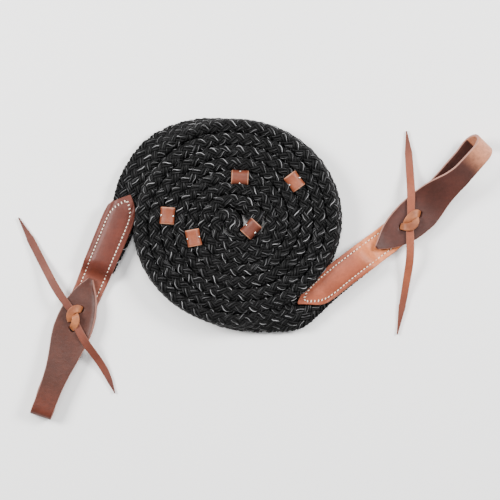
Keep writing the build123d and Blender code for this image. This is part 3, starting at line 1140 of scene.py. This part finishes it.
@dataclass
class BraidedArm:
    """One half of the rein: coil stretches between the grips, the bending stretch and the end stretch."""

    braid: FlatBraid
    grips: Sequence[Vector]       # places of the arm's grips, from the middle outwards
    bend_before: int = 180        # stations of the bending stretch, before and after the peel
    bend_after: int = 18
    peel_reach: float = 16.0      # distance on each side of the peel, in millimetres, of two points that are worked out and left unused
    lift_from: float = -20.0      # stations of the strap at which two points are worked out and left unused
    lift_to: float = -2.0

    def build(self) -> None:
        braid = self.braid
        side = braid.plan.side.value
        bend = braid.peel - self.bend_before
        cuts = [0] + [braid.nearest(place) for place in self.grips] + [bend]
        names = ("inner", "middle", "outer")
        for name, low, high in zip(names, cuts, cuts[1:]):
            piece = braid.build(f"{side}_coil_{name}_braid", low, high)
            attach(piece, Body.COIL.value)
            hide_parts("braid_coil")
            braid.declare(piece, low, high, "coiled")
        after = braid.peel + self.bend_after
        piece = braid.build(f"{side}_bend_braid", bend, after)
        axis = Vector(braid.line[braid.peel])
        ahead = Vector(braid.line[braid.peel + 1] - braid.line[braid.peel - 1]).normalized()
        (axis - ahead * self.peel_reach) * MM
        (axis + ahead * self.peel_reach) * MM
        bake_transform(piece)
        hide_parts("braid_coil", f"braid_{side}_tail")
        braid.declare(piece, bend, after, "coiled")
        last = len(braid.line) - 1
        piece = braid.build(f"{side}_end_braid", after, last)
        end = braid.end
        level = UP * braid.pocket_level
        (end.centre(self.lift_from) + level) * MM
        (end.centre(self.lift_to) + level) * MM
        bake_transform(piece)
        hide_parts(f"braid_{side}_tail", f"{side}_pocket_braid")
        braid.declare(piece, after, last, "loose")


# ---------------------------------------------------------------- leather ends

@dataclass(frozen=True)
class Tones:
    """Finishes of one leather end."""

    strap: bpy.types.Material
    facing: bpy.types.Material
    lace: bpy.types.Material
    knot: bpy.types.Material


@dataclass
class Ribbon:
    """A flat strip of leather that follows a line."""

    points: Sequence[Vector]      # control points of its middle line
    widths: Table                 # its width at shares of its length from 0 to 1
    thickness: float
    step: float = 1.2             # between its sections
    line: np.ndarray = field(init=False)

    def __post_init__(self) -> None:
        """Reads the strip's line."""
        self.line = even_line(route_line(self.points), self.step)

    def mesh(self) -> bmesh.types.BMesh:
        """The closed strip.

        Returns:
            Its shape.
        """
        profile = Profile(across=7, rim_round=0.32)
        tangents = np.gradient(self.line, axis=0)
        sections = []
        last = len(self.line) - 1
        for index, (point, tangent) in enumerate(zip(self.line, tangents)):
            way = Vector(tangent).normalized()
            across = Vector((way.x, way.y, 0.0)).normalized().cross(UP)
            share = index / last
            outline = profile.ring(between(self.widths, share) / 2, self.thickness, lambda x: 0.0)
            sections.append(Section(Vector(point), across, across.cross(way), outline, 100.0 * share))
        return extruded(sections, profile.rims())


@dataclass
class LeatherEnd:
    """Strap with its water loop and flap, stitched facing, and knotted lace of one end of the rein.

    Stations run along the strap from the facing's tip. Offsets across are positive away from the coil.
    """

    plan: EndPlan
    finishes: Finishes
    tones: Tones

    strap_thick: float = 2.4
    strap_step: float = 1.5       # between the strap's sections
    facing_thick: float = 2.2
    pocket_top: float = 9.6
    bed: tuple[float, float] = (90.0, 120.0)      # where the leathers ride over the lace's run
    bed_lift: float = 1.9
    bed_in: float = 8.0           # lengths in which they climb it and come down again
    bed_out: float = 14.0
    holes: tuple[float, float] = (97.0, 113.0)
    hole_radius: float = 2.6
    stack: float = 6.5            # top of the facing under the flap
    stitch_pitch: float = 2.9
    stitch_size: tuple[float, float] = (0.44, 0.42)       # half of its width and height
    needle_hole: tuple[float, float] = (0.46, 0.13)       # radius and height of its dark mouth, a blob of painted shade
    lace_thick: float = 1.7
    lace_width: float = 6.2
    run_width: float = 5.0        # the lace between the holes
    curl_reach: float = 5.0       # width of the flap's rim that curls up
    groove: tuple[float, float] = (7.7, 1.1)      # offset and width of the stitches' groove
    back_width: Table = ((1.0, 2.0), (7.0, 8.2), (12.0, 10.7), (17.0, 11.25), (118.0, 11.25), (132.0, 10.2),
                         (150.0, 8.5), (190.0, 8.5))
    flap_width: Table = ((70.0, 0.5), (73.0, 2.6), (76.5, 4.9), (82.0, 8.2), (88.0, 10.9), (93.0, 12.6),
                         (99.0, 14.0), (107.0, 14.9), (115.0, 15.0), (124.0, 14.0), (136.0, 11.9),
                         (148.0, 9.9), (160.0, 8.8), (175.0, 8.5), (190.0, 8.5))
    flap_rise: Table = ((164.0, 1.0), (156.0, 0.97), (148.0, 0.82), (140.0, 0.55), (132.0, 0.26),
                        (125.0, 0.08), (119.0, 0.0))      # share of the loop's height
    flap_curl: Table = ((112.0, 0.0), (102.0, 0.0), (90.0, 0.05), (85.0, 0.25), (79.0, 0.55), (70.0, 1.0))
    rim_turn: Table = ((76.0, 1.0), (102.0, 1.0), (118.0, 0.35), (140.0, 0.0))
    back_aside: Table = ((122.0, 0.0), (140.0, 1.1), (168.0, 1.1), (178.0, 0.0))
    facing_steps: tuple[tuple[float, float, float], ...] = (
        (20.0, 56.0, 2.5), (56.0, 92.0, 1.0), (92.0, 119.0, 3.0))     # from, to and distance apart

    @property
    def body(self) -> str:
        """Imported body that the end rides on."""
        return f"{self.plan.name}_end"

    def _settle(self, piece: bpy.types.Object, slot: str, *nodes: str) -> bpy.types.Object:
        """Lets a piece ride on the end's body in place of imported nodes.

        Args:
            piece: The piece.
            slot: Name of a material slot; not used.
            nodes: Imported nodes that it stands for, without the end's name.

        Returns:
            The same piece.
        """
        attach(piece, self.body)
        for node in nodes:
            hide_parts(f"{self.plan.name}_{node}")
        return piece

    def _punched(self, piece: bpy.types.Object) -> bpy.types.Object:
        """Punches the two lace holes through a piece.

        Args:
            piece: The piece.

        Returns:
            The same piece.
        """
        mesh = bmesh.new()
        for station in self.holes:
            made = bmesh.ops.create_cone(mesh, cap_ends=True, segments=28, radius1=self.hole_radius,
                                         radius2=self.hole_radius, depth=40.0)["verts"]
            bmesh.ops.translate(mesh, vec=self.plan.centre(station), verts=made)
        punch = Maker.piece("punch", mesh, [])
        cut = piece.modifiers.new("holes", "BOOLEAN")
        cut.operation = "DIFFERENCE"
        cut.solver = "EXACT"
        cut.object = punch
        Maker.apply_modifiers(piece)
        bpy.data.objects.remove(punch)
        return piece

    def facing_under(self, station: float) -> float:
        """Height of the facing's underside at a station."""
        low = self.strap_thick
        rows = ((0.0, self.pocket_top), (58.0, self.pocket_top), (61.5, 8.6), (66.5, 3.8), (70.0, low),
                (self.bed[0] - self.bed_in, low), (self.bed[0], low + self.bed_lift),
                (190.0, low + self.bed_lift))
        return eased(rows, station, 1.5)

    def strap_line(self) -> np.ndarray:
        """Middle line of the strap's leather: out along the back, round the loop, back along the flap.

        Returns:
            Station and height of its points, and 1 from the loop's turn on, where it is the flap.
        """
        plan = self.plan
        half = self.strap_thick / 2
        radius = plan.loop_height / 2 - half
        fold = plan.strap_length - plan.loop_height / 2
        back = [(1.0, 0.0), (self.bed[0] - self.bed_in, 0.0), (self.bed[0], self.bed_lift),
                (self.bed[1], self.bed_lift), (self.bed[1] + self.bed_out, 0.0), (fold, 0.0)]
        rows = [(station, height + half, 0.0) for station, height in back]
        for turn in range(-80, 81, 10):
            angle = math.radians(turn)
            rows.append((fold + radius * math.cos(angle), plan.loop_height / 2 + radius * math.sin(angle), 1.0))
        crest = plan.loop_height - half
        low = self.stack + half
        rows += [(station, low + share * (crest - low), 1.0) for station, share in ((fold, 1.0), *self.flap_rise)]
        for station, curl in self.flap_curl:
            rest = self.facing_under(station) + self.facing_thick + half
            rows.append((station, rest + curl * plan.tip_curl, 1.0))
        line = even_line(np.array(rows), self.strap_step)
        padded = np.pad(line, ((2, 2), (0, 0)), mode="edge")
        line[:, :2] = np.stack([np.convolve(padded[:, axis], np.ones(5) / 5, "valid") for axis in (0, 1)], 1)
        return line

    def strap(self) -> bpy.types.Object:
        """Strap, water loop and flap as one bent strip.

        Returns:
            The piece.
        """
        profile = Profile()
        line = self.strap_line()
        steps = np.gradient(line[:, :2], axis=0)
        sections = []
        for (station, height, leaf), (ahead, rise) in zip(line, steps):
            pitch = math.atan2(rise, ahead)
            origin, across, face = self.plan.frame(station, height, pitch)
            half = between(self.back_width if leaf < 0.5 else self.flap_width, station)
            outline = profile.ring(half, self.strap_thick, lambda x: 0.0)
            if leaf > 0.5:
                origin = origin + across * between(self.plan.flap_aside, station)
                curl = self.plan.rim_curl * between(self.rim_turn, station)
                outline = [self._curled(x, z, half, curl) for x, z in outline]
            else:
                origin = origin + across * between(self.back_aside, station)
            sections.append(Section(origin, across, face, outline, station + 200.0 * leaf))
        piece = Maker.piece(f"{self.plan.name}_bit_strap", extruded(sections, profile.rims()),
                            [self.tones.strap])
        return self._settle(self._punched(piece), "strap_leather", "strap")

    def _curled(self, x: float, z: float, half: float, angle: float) -> tuple[float, float]:
        """Point of the flap's outline with the rim nearest the coil curled upwards.

        Args:
            x: Distance across.
            z: Distance below the flap's middle.
            half: Half of the flap's width.
            angle: How far the rim itself turns up, in radians.

        Returns:
            The point's place after the curl.
        """
        start = max(half - self.curl_reach, 0.0)
        past = -x - start
        if past <= 0.0:
            return x, z
        turned = angle * past / self.curl_reach
        return (-start - past * math.cos(turned / 2) - z * math.sin(turned),
                z * math.cos(turned) - past * math.sin(turned / 2))

    def facing_edges(self, station: float) -> tuple[float, float]:
        """Coil-side and outer edge of the facing at a station."""
        return between(self.plan.coil_edge, station), between(self.plan.outer_edge, station)

    def relief(self, station: float, x: float) -> float:
        """Height of the facing's pressed shape: full over the braid, drawn down along the stitches."""
        full = 1.0 - ease((station - 56.0) / 8.0)
        full *= ease((station - 4.0) / 10.0)
        groove = math.exp(-((abs(x) - self.groove[0]) / self.groove[1]) ** 2)
        crown = max(0.0, 1.0 - (x / 7.4) ** 2)
        edge = ease((abs(x) - 8.2) / 3.0)
        return full * (0.85 * crown - 0.75 * edge) - (0.35 + 0.25 * full) * groove

    def facing(self) -> bpy.types.Object:
        """Pointed facing over the end of the braid.

        Returns:
            The piece.
        """
        profile = Profile(across=25)
        tip_steps = (self.plan.coil_edge[0][0], self.facing_steps[0][0], 1.0)
        stations = np.concatenate([np.arange(*steps) for steps in (tip_steps, *self.facing_steps)])
        sections = []
        for station in stations:
            coil_side, outer = self.facing_edges(station)
            height = self.facing_under(station) + self.facing_thick / 2
            rise = self.facing_under(station + 1.0) - self.facing_under(station - 1.0)
            origin, across, face = self.plan.frame(station, height, math.atan2(rise, 2.0))
            middle = (coil_side + outer) / 2
            outline = profile.ring((outer - coil_side) / 2, self.facing_thick,
                                   lambda x: self.relief(station, x + middle))
            sections.append(Section(origin + across * middle, across, face, outline, station))
        piece = Maker.piece(f"{self.plan.name}_bit_facing", extruded(sections, profile.rims()),
                            [self.tones.facing])
        return self._settle(self._punched(piece), "facing_leather", "facing")

    def stitch_path(self) -> np.ndarray:
        """Station and offset of points along the stitching, from one row round the tip to the other."""
        rows = np.array([(station, offset, 0.0) for station, offset in self.plan.stitch_corners])
        return even_line(rows, self.stitch_pitch)

    def stitching(self) -> bpy.types.Object:
        """Lockstitches drawn into the facing, with a dark blob of painted shade for the needle hole at the end of
        each.

        Returns:
            The piece.
        """
        path = self.stitch_path()
        mesh = bmesh.new()
        for index, (here, after) in enumerate(zip(path, path[1:])):
            middle = (here + after) / 2
            way = math.atan2(after[1] - here[1], after[0] - here[0])
            self._stitch(mesh, middle, way, 1.02 + 0.09 * math.sin(index * 2.3))
            self._needle_hole(mesh, here)
        piece = Maker.piece(f"{self.plan.name}_bit_stitching", mesh, [self.finishes.thread, self.finishes.hole])
        return self._settle(piece, "thread", "stitching")

    def _surface(self, station: float, offset: float) -> tuple[Vector, Vector, Vector, Vector]:
        """Point on the facing's top, with the directions ahead, across and out of it.

        Args:
            station: Place along the strap.
            offset: Place across it.

        Returns:
            The point and the three directions.
        """
        rise = self.facing_under(station + 1.0) - self.facing_under(station - 1.0)
        pitch = math.atan2(rise, 2.0)
        height = self.facing_under(station) + self.facing_thick
        origin, across, face = self.plan.frame(station, height, pitch)
        point = origin + across * offset + face * self.relief(station, offset)
        return point, face.cross(across) * -1.0, across, face

    def _stitch(self, mesh: bmesh.types.BMesh, place: np.ndarray, way: float, length: float) -> None:
        """Adds one stitch: a short bead of thread, pinched at both ends.

        Args:
            mesh: The stitching.
            place: Its station and offset.
            way: Its direction, from the strap's, in radians.
            length: Half its length.
        """
        point, ahead, across, face = self._surface(place[0], place[1])
        along = ahead * math.cos(way) + across * math.sin(way)
        aside = face.cross(along)
        wide, tall = self.stitch_size
        made = bmesh.ops.create_icosphere(mesh, subdivisions=2, radius=1.0)["verts"]
        for vertex in made:
            x, y, z = vertex.co
            vertex.co = point + along * (x * length) + aside * (y * wide) + face * (z * tall + 0.02)

    def _needle_hole(self, mesh: bmesh.types.BMesh, place: np.ndarray) -> None:
        """Adds the dark mouth of one needle hole: a flat blob of painted shade.

        Args:
            mesh: The stitching.
            place: Its station and offset.
        """
        point, ahead, across, face = self._surface(place[0], place[1])
        radius, tall = self.needle_hole
        made = bmesh.ops.create_icosphere(mesh, subdivisions=1, radius=1.0)["verts"]
        for vertex in made:
            x, y, z = vertex.co
            vertex.co = point + ahead * (x * radius) + across * (y * radius) + face * (z * tall + 0.03)
        for side in {item for vertex in made for item in vertex.link_faces}:
            side.material_index = 1

    def _knot_point(self, place: tuple[float, float, float]) -> Vector:
        """Point of the knot, from ground offsets to the knot's middle and a height over the flap."""
        station = sum(self.holes) / 2
        middle = self.plan.centre(station) + self.plan.forward(station).cross(UP) * self.plan.knot_aside
        top = self.stack + self.strap_thick
        return Vector((middle.x + place[0], middle.y + place[1], top + place[2]))

    def knot(self) -> bpy.types.Object:
        """The lace's run between the holes and the knot that it makes on the flap.

        Returns:
            The piece.
        """
        whole = bmesh.new()
        run = [self.plan.centre(station) + UP for station in (self.holes[0] - 2.0, 103.0, 107.0,
                                                             self.holes[1] + 2.0)]
        bands = [Ribbon(run, ((0.0, self.run_width), (1.0, self.run_width)), self.lace_thick)]
        for points, widths in self.plan.knot_bands:
            bands.append(Ribbon([self._knot_point(point) for point in points], widths, self.lace_thick, 0.7))
        for band in bands:
            part = band.mesh()
            bmesh.ops.recalc_face_normals(part, faces=part.faces)
            data = bpy.data.meshes.new("band")
            part.to_mesh(data)
            part.free()
            whole.from_mesh(data)
            bpy.data.meshes.remove(data)
        # dark plugs in the lace holes: painted shade
        for station in self.holes:
            made = bmesh.ops.create_cone(whole, cap_ends=True, segments=16, radius1=self.hole_radius - 0.1,
                                         radius2=self.hole_radius - 0.1, depth=self.stack)["verts"]
            bmesh.ops.translate(whole, vec=self.plan.centre(station) + UP * (self.stack / 2 + 1.2), verts=made)
            for face in {item for vertex in made for item in vertex.link_faces}:
                face.material_index = 1
        piece = Maker.piece(f"{self.plan.name}_lace_knot", whole, [self.tones.knot, self.finishes.hole],
                            turn_out=False)
        return self._settle(piece, "lace_leather", "lace")

    def tail(self, name: str, route: Sequence[tuple[float, float, float]], root: tuple[float, float, float],
             widths: Table) -> bpy.types.Object:
        """One free tail of the lace.

        Args:
            name: "up" or "down".
            route: Its control points after the knot.
            root: Where it leaves the knot.
            widths: Its width at shares of its length.

        Returns:
            The piece.
        """
        ribbon = Ribbon([self._knot_point(root)] + [Vector(point) for point in route], widths, self.lace_thick)
        piece = Maker.piece(f"{self.plan.name}_lace_{name}_tail", ribbon.mesh(), [self.tones.lace])
        self._settle(piece, "lace_leather", "lace")
        path = ribbon.line * MM
        self.lace_width * MM
        return piece

    def build(self) -> None:
        """Makes every piece of the end."""
        self.strap()
        self.facing()
        self.stitching()
        self.knot()
        self.tail("up", self.plan.lace_up, self.plan.up_root, self.plan.up_widths)
        self.tail("down", self.plan.lace_down, self.plan.down_root, self.plan.down_widths)


# ---------------------------------------------------------------- grips

def node_middle(node: str) -> Vector:
    """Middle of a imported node's box, in millimetres."""
    low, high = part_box(node)
    return (low + high) / 2 / MM


@dataclass(frozen=True)
class Grip:
    """Leather sleeve drawn tight round the braid and held by two domed tacks."""

    name: str
    heading: float
    finish: bpy.types.Material
    tack: bpy.types.Material
    seams: tuple[float, ...] = ()

    length: float = 13.0
    half_wide: float = 5.55
    half_tall: float = 10.65
    wall: float = 1.3
    corner: float = 3.9
    least_corner: float = 0.6
    seam_depth: float = 0.45
    seam_width: float = 0.5
    head_radius: float = 0.85
    head_flat: float = 0.45       # share of its height that a tack head loses

    def _outline(self, inset: float) -> list[tuple[float, float]]:
        """Rounded outline of the sleeve, moved in by a distance.

        Args:
            inset: How far it is moved in.

        Returns:
            Points of the outline, sideways and upwards from its middle.
        """
        corner = max(self.corner - inset, self.least_corner)
        wide, tall = self.half_wide - inset - corner, self.half_tall - inset - corner
        sides = ((wide, tall, -2 * wide, 0.0, 5), (-wide, tall, 0.0, -2 * tall, 2),
                 (-wide, -tall, 2 * wide, 0.0, 5), (wide, -tall, 0.0, 2 * tall, 2))
        points = []
        for quarter, (x, z, run_x, run_z, parts) in enumerate(sides):
            for step in range(7):
                angle = math.radians(90 * quarter + 15 * step)
                points.append((x + corner * math.cos(angle), z + corner * math.sin(angle)))
            last_x, last_z = points[-1]
            points += [(last_x + run_x * part / parts, last_z + run_z * part / parts) for part in range(1, parts)]
        if inset < self.seam_width:
            points = [(x, z - self._seam(x, z)) for x, z in points]
        return points

    def _seam(self, x: float, z: float) -> float:
        """Depth of the pressed seams at a point of the outline."""
        if z < self.half_tall - 1.5:
            return 0.0
        return sum(self.seam_depth * math.exp(-((x - seam) / self.seam_width) ** 2) for seam in self.seams)

    def build(self) -> None:
        """Makes the sleeve and its tacks."""
        middle = node_middle(self.name)
        ahead = heading_vector(self.heading)
        across = ahead.cross(UP)
        half, wall = self.length / 2, self.wall
        rows = [(-half + 0.35, 0.0, 0.75), (-half + 1.0, -0.22, 0.3), (-half + 2.2, -0.05, 0.0), (0.0, 0.1, 0.0),
                (half - 2.2, -0.05, 0.0), (half - 1.0, -0.22, 0.3), (half - 0.35, 0.0, 0.75),
                (half, 0.35, 1.0), (half, wall - 0.3, 1.0), (half - 0.3, wall, 0.8),
                (-half + 0.3, wall, 0.8), (-half, wall - 0.3, 1.0), (-half, 0.35, 1.0)]
        rings = [[middle + ahead * along + across * x + UP * z for x, z in self._outline(inset)]
                 for along, inset, worn in rows]
        rims = [[worn] * len(ring) for ring, (along, inset, worn) in zip(rings, rows)]
        mesh = lofted(rings, rims, [0.0] * len(rows), joined=True)
        sleeve = Maker.piece(self.name + "_sleeve", mesh, [self.finish])
        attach(sleeve, Body.COIL.value)
        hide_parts(self.name)
        self._tacks(middle, across)

    def _tacks(self, middle: Vector, across: Vector) -> None:
        """Makes the grip's two domed tack heads.

        Args:
            middle: Middle of the sleeve.
            across: Direction across the braid.
        """
        mesh = bmesh.new()
        for side in (-1.0, 1.0):
            out = (across * side + UP * 0.9).normalized()
            seat = middle + across * side * (self.half_wide - 0.75) + UP * (self.half_tall - 1.0)
            made = bmesh.ops.create_uvsphere(mesh, u_segments=16, v_segments=10, radius=self.head_radius)["verts"]
            for vertex in made:
                vertex.co -= out * (self.head_flat * vertex.co.dot(out))
            bmesh.ops.translate(mesh, vec=seat, verts=made)
        tacks = Maker.piece(self.name.replace("grip", "tack") + "_heads", mesh, [self.tack])
        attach(tacks, Body.COIL.value)
        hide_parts(self.name.replace("grip", "tacks"))


# ---------------------------------------------------------------- studio

@dataclass(frozen=True)
class Lamp:
    """One soft square light."""

    name: str
    place: tuple[float, float, float]     # in metres
    size: float
    power: float                          # in watts
    tone: Colour


@dataclass(frozen=True)
class Studio:
    """White table, three soft lights and a camera that looks straight down."""

    middle: tuple[float, float] = (10.85, -21.7)   # ground point in the middle of the view
    view_width: float = 387.5
    lens: float = 200.0
    sensor: float = 36.0
    table_size: float = 3000.0
    table_drop: float = 0.1       # of its top under the ground plane
    sky: float = 0.5
    lamps: tuple[Lamp, ...] = (
        Lamp("left_light", (-1.0, 0.35, 0.9), 0.5, 36.0, (1.0, 0.99, 0.97)),
        Lamp("right_light", (1.0, 0.45, 0.9), 0.5, 33.0, (1.0, 0.99, 0.98)),
        Lamp("top_light", (0.0, 0.6, 1.4), 0.6, 12.0, (1.0, 1.0, 1.0)),
    )

    def camera(self) -> None:
        """Sets up the camera."""
        data = bpy.data.cameras.new("camera")
        data.lens = self.lens
        data.sensor_width = self.sensor
        camera = bpy.data.objects.new("camera", data)
        height = self.view_width * self.lens / self.sensor
        camera.location = Vector((*self.middle, height)) * MM
        bpy.context.scene.collection.objects.link(camera)
        bpy.context.scene.camera = camera

    def light(self, lamp: Lamp) -> None:
        """Adds one light that faces the coil.

        Args:
            lamp: The light.
        """
        data = bpy.data.lights.new(lamp.name, "AREA")
        data.size = lamp.size
        data.energy = lamp.power
        data.color = lamp.tone
        light = bpy.data.objects.new(lamp.name, data)
        light.location = lamp.place
        target = Vector((*self.middle, 0.0)) * MM
        light.rotation_mode = "QUATERNION"
        light.rotation_quaternion = (target - Vector(lamp.place)).to_track_quat("-Z", "Y")
        bpy.context.scene.collection.objects.link(light)

    def build(self, finishes: Finishes) -> None:
        """Makes the table, the lights and the camera.

        Args:
            finishes: The finishes.
        """
        mesh = bmesh.new()
        bmesh.ops.create_grid(mesh, x_segments=1, y_segments=1, size=self.table_size / 2)
        bmesh.ops.translate(mesh, vec=UP * -self.table_drop, verts=mesh.verts)
        table = Maker.piece("table", mesh, [finishes.paper], turn_out=False)
        for lamp in self.lamps:
            self.light(lamp)
        world = bpy.data.worlds.new("room")
        world.use_nodes = True
        sky = world.node_tree.nodes["Background"].inputs
        sky["Color"].default_value = (1.0, 1.0, 1.0, 1.0)
        sky["Strength"].default_value = self.sky
        bpy.context.scene.world = world
        self.camera()


# ---------------------------------------------------------------- the reins

LEFT_END = EndPlan(
    side=Side.LEFT, mouth=(-85.0, 23.0), heading=246.5, loop_heading=251.3, loop_height=11.4, roll=0.0,
    tip_curl=1.8, rim_curl=0.75, strap_length=186.5,
    lace_up=((-135.5, -58.0, 11.2), (-150.0, -31.0, 3.5), (-160.5, -10.5, 1.1), (-169.0, 4.4, 1.1)),
    lace_down=((-118.0, -91.0, 11.2), (-106.5, -106.5, 3.5), (-99.0, -119.0, 1.1), (-93.6, -133.0, 1.1)),
    up_root=(0.6, 3.0, 1.1), down_root=(0.6, -3.0, 1.2),
    up_widths=((0.0, 5.4), (0.25, 6.2), (0.78, 5.9), (0.8, 5.1), (1.0, 0.7)),
    down_widths=((0.0, 5.6), (0.3, 6.2), (0.7, 5.6), (0.85, 4.0), (1.0, 0.6)),
    knot_bands=(
        (((5.6, 6.2, -2.2), (5.0, 6.6, 1.4), (2.6, 7.2, 3.4), (-0.8, 6.2, 4.0), (-3.0, 3.2, 3.6),
          (-3.6, -0.6, 2.4), (-3.0, -3.4, 0.6)), ((0.0, 4.6), (0.3, 6.2), (0.7, 5.4), (1.0, 3.6))),
        (((0.2, 3.4, 1.6), (1.4, 1.6, 4.4), (1.6, -1.6, 4.4), (0.8, -4.6, 3.4), (-0.6, -7.2, 1.6),
          (-1.8, -8.6, -2.0)), ((0.0, 5.4), (0.5, 6.2), (1.0, 4.8))),
    ),
    aside=((-30.0, 0.0), (-8.0, -1.2), (10.0, -2.6), (30.0, -3.3), (60.0, -3.7), (90.0, -3.6),
           (115.0, -4.6), (140.0, -4.8), (165.0, -3.6), (187.0, -2.6)),
    flap_aside=((70.0, 2.0), (90.0, 0.3), (100.0, 0.0)),
    pocket_aside=((-12.0, -0.4), (2.0, -1.6), (20.0, -3.4), (40.0, -3.0), (61.0, -1.2)),
    knot_aside=2.1,
    coil_edge=((0.6, -2.6), (2.6, -4.6), (6.0, -7.4), (10.0, -9.8), (14.0, -11.3), (19.0, -12.2),
               (25.0, -12.5), (60.0, -11.9), (80.0, -11.2), (121.0, -11.0)),
    outer_edge=((0.6, -2.0), (3.0, 0.8), (6.0, 4.2), (9.0, 7.4), (12.0, 10.2), (14.0, 11.6),
                (20.0, 12.4), (28.0, 12.7), (60.0, 12.4), (80.0, 11.4), (121.0, 10.8)),
    stitch_corners=((87.0, -7.8), (60.0, -8.0), (20.0, -8.3), (14.4, -7.4), (8.6, -4.2), (5.4, -1.2),
                    (9.6, 2.6), (15.0, 6.4), (20.0, 8.0), (26.0, 8.5), (60.0, 8.2), (87.0, 7.5)),
)
RIGHT_END = EndPlan(
    side=Side.RIGHT, mouth=(55.3, -67.9), heading=41.0, loop_heading=48.2, loop_height=20.0, roll=27.0,
    tip_curl=3.2, rim_curl=0.4, strap_length=189.0,
    lace_up=((135.3, 22.0, 11.2), (134.4, 40.0, 3.5), (133.5, 56.0, 1.1), (132.0, 71.0, 1.1)),
    lace_down=((135.2, -23.0, 11.2), (132.0, -46.0, 3.5), (128.2, -68.0, 1.1), (124.8, -87.5, 1.1)),
    up_root=(0.4, 3.6, 1.2), down_root=(-0.6, -3.4, 1.1),
    up_widths=((0.0, 5.6), (0.3, 6.4), (0.75, 5.8), (1.0, 0.8)),
    down_widths=((0.0, 6.0), (0.4, 6.2), (0.72, 5.2), (0.74, 5.6), (1.0, 0.8)),
    knot_bands=(
        (((7.4, 4.8, -2.2), (6.4, 5.2, 1.8), (4.2, 5.4, 3.6), (1.0, 3.6, 4.2), (-1.8, 0.8, 3.8),
          (-3.6, -1.6, 2.4), (-4.4, -3.4, 0.8)), ((0.0, 4.8), (0.3, 6.6), (0.7, 5.6), (1.0, 3.6))),
        (((1.8, 4.4, 1.4), (4.2, 2.4, 3.2), (4.2, -1.2, 3.8), (1.8, -4.2, 4.2), (-2.2, -5.2, 4.2),
          (-5.4, -4.8, 2.8), (-7.4, -4.4, -2.0)), ((0.0, 4.2), (0.5, 6.2), (1.0, 4.8))),
    ),
    aside=((-30.0, -1.0), (-10.0, -2.2), (0.0, -2.4), (20.0, -3.4), (40.0, -3.2), (60.0, -2.2), (80.0, -0.6),
           (100.0, 0.0)),
    flap_aside=((0.0, 0.0), (1.0, 0.0)),
    pocket_aside=((0.0, 0.0), (1.0, 0.0)),
    knot_aside=0.0,
    coil_edge=((-2.6, -6.6), (0.0, -8.2), (4.0, -10.0), (9.0, -11.6), (14.0, -12.2), (30.0, -12.0),
               (60.0, -11.6), (84.0, -11.2), (121.0, -11.0)),
    outer_edge=((-2.6, -5.6), (-0.5, -3.8), (3.0, -0.4), (6.5, 3.2), (9.4, 6.0), (12.0, 7.8), (16.0, 9.2),
                (22.0, 10.2), (60.0, 11.6), (70.0, 11.4), (121.0, 10.8)),
    stitch_corners=((87.0, -7.8), (60.0, -8.2), (20.0, -8.8), (10.0, -8.2), (5.0, -6.8), (2.4, -4.6),
                    (6.0, -0.8), (12.0, 4.0), (18.0, 6.4), (26.0, 7.2), (87.0, 7.6)),
)
LEFT_ARM = ArmPlan(
    side=Side.LEFT, start=13.56, middle=((15.9, -0.3),), first=20.0, peel=1175.0,
    loose=((0.0, 0.9), (40.0, 0.5), (70.0, 0.3), (110.0, 0.4), (180.0, 0.6), (270.0, 0.4), (420.0, 0.0)),
    lean=((2.0, 0.0), (20.0, -21.0), (95.0, -21.0), (150.0, 0.0), (880.0, 0.0), (960.0, 5.0),
          (1030.0, 8.0), (1060.0, 15.0), (1085.0, 18.0), (1120.0, 13.0), (1150.0, 7.0), (1175.0, 5.0)),
    tipping=1.0,
    hook=((0.0, 0.0), (1.0, 0.0)),
    tail=((-27.0, 74.1, 10.0), (-47.4, 67.6, 9.1), (-65.8, 55.2, 7.4)),
    grips=("grip_left_inner", "grip_left_outer"),
)
RIGHT_ARM = ArmPlan(
    side=Side.RIGHT, start=3.85,
    middle=((7.6, -10.2), (3.6, -11.0), (0.2, -8.8), (-1.2, -4.4), (-1.2, 1.4), (-4.0, 5.6)),
    first=140.0, peel=1330.0,
    loose=((140.0, 0.0), (180.0, 0.5), (230.0, 1.8), (330.0, 1.7), (540.0, 0.0)),
    lean=((1080.0, 0.0), (1160.0, 8.0), (1215.0, 15.0), (1270.0, 14.0), (1300.0, 6.0), (1330.0, 2.0)),
    tipping=1.6,
    hook=((6.0, 0.0), (12.0, 22.0), (26.0, 24.0), (36.0, 0.0)),
    tail=((-6.6, -77.3, 10.2), (12.2, -78.2, 10.1), (30.6, -75.2, 8.6)),
    grips=("grip_right_inner", "grip_right_outer"),
)
HEART = Vector((11.6, -5.4, 10.25))


def main() -> None:
    """Builds every piece in order."""
    logging.basicConfig(level=logging.INFO, format="%(message)s")
    finishes = Finishes()
    Studio().build(finishes)
    for plan, end in ((LEFT_ARM, LEFT_END), (RIGHT_ARM, RIGHT_END)):
        braid = FlatBraid(plan, end, HEART, finishes)
        BraidedArm(braid, [node_middle(grip) for grip in plan.grips]).build()
    left = Tones(finishes.left_strap, finishes.left_facing, finishes.left_lace, finishes.knot)
    right = Tones(finishes.right_strap, finishes.right_facing, finishes.right_lace, finishes.knot)
    for end, tones in ((LEFT_END, left), (RIGHT_END, right)):
        LeatherEnd(end, finishes, tones).build()
    tan, red, tack = finishes.grip_tan, finishes.grip_red, finishes.tack
    for grip in (
        Grip("grip_centre", 47.0, red, tack), Grip("grip_left_inner", 177.0, red, tack),
        Grip("grip_left_outer", 126.0, tan, tack), Grip("grip_right_inner", 281.0, tan, tack),
        Grip("grip_right_outer", 266.0, tan, tack, (-3.4, 2.2)),
    ):
        grip.build()


if __name__ == "__main__":
    main()
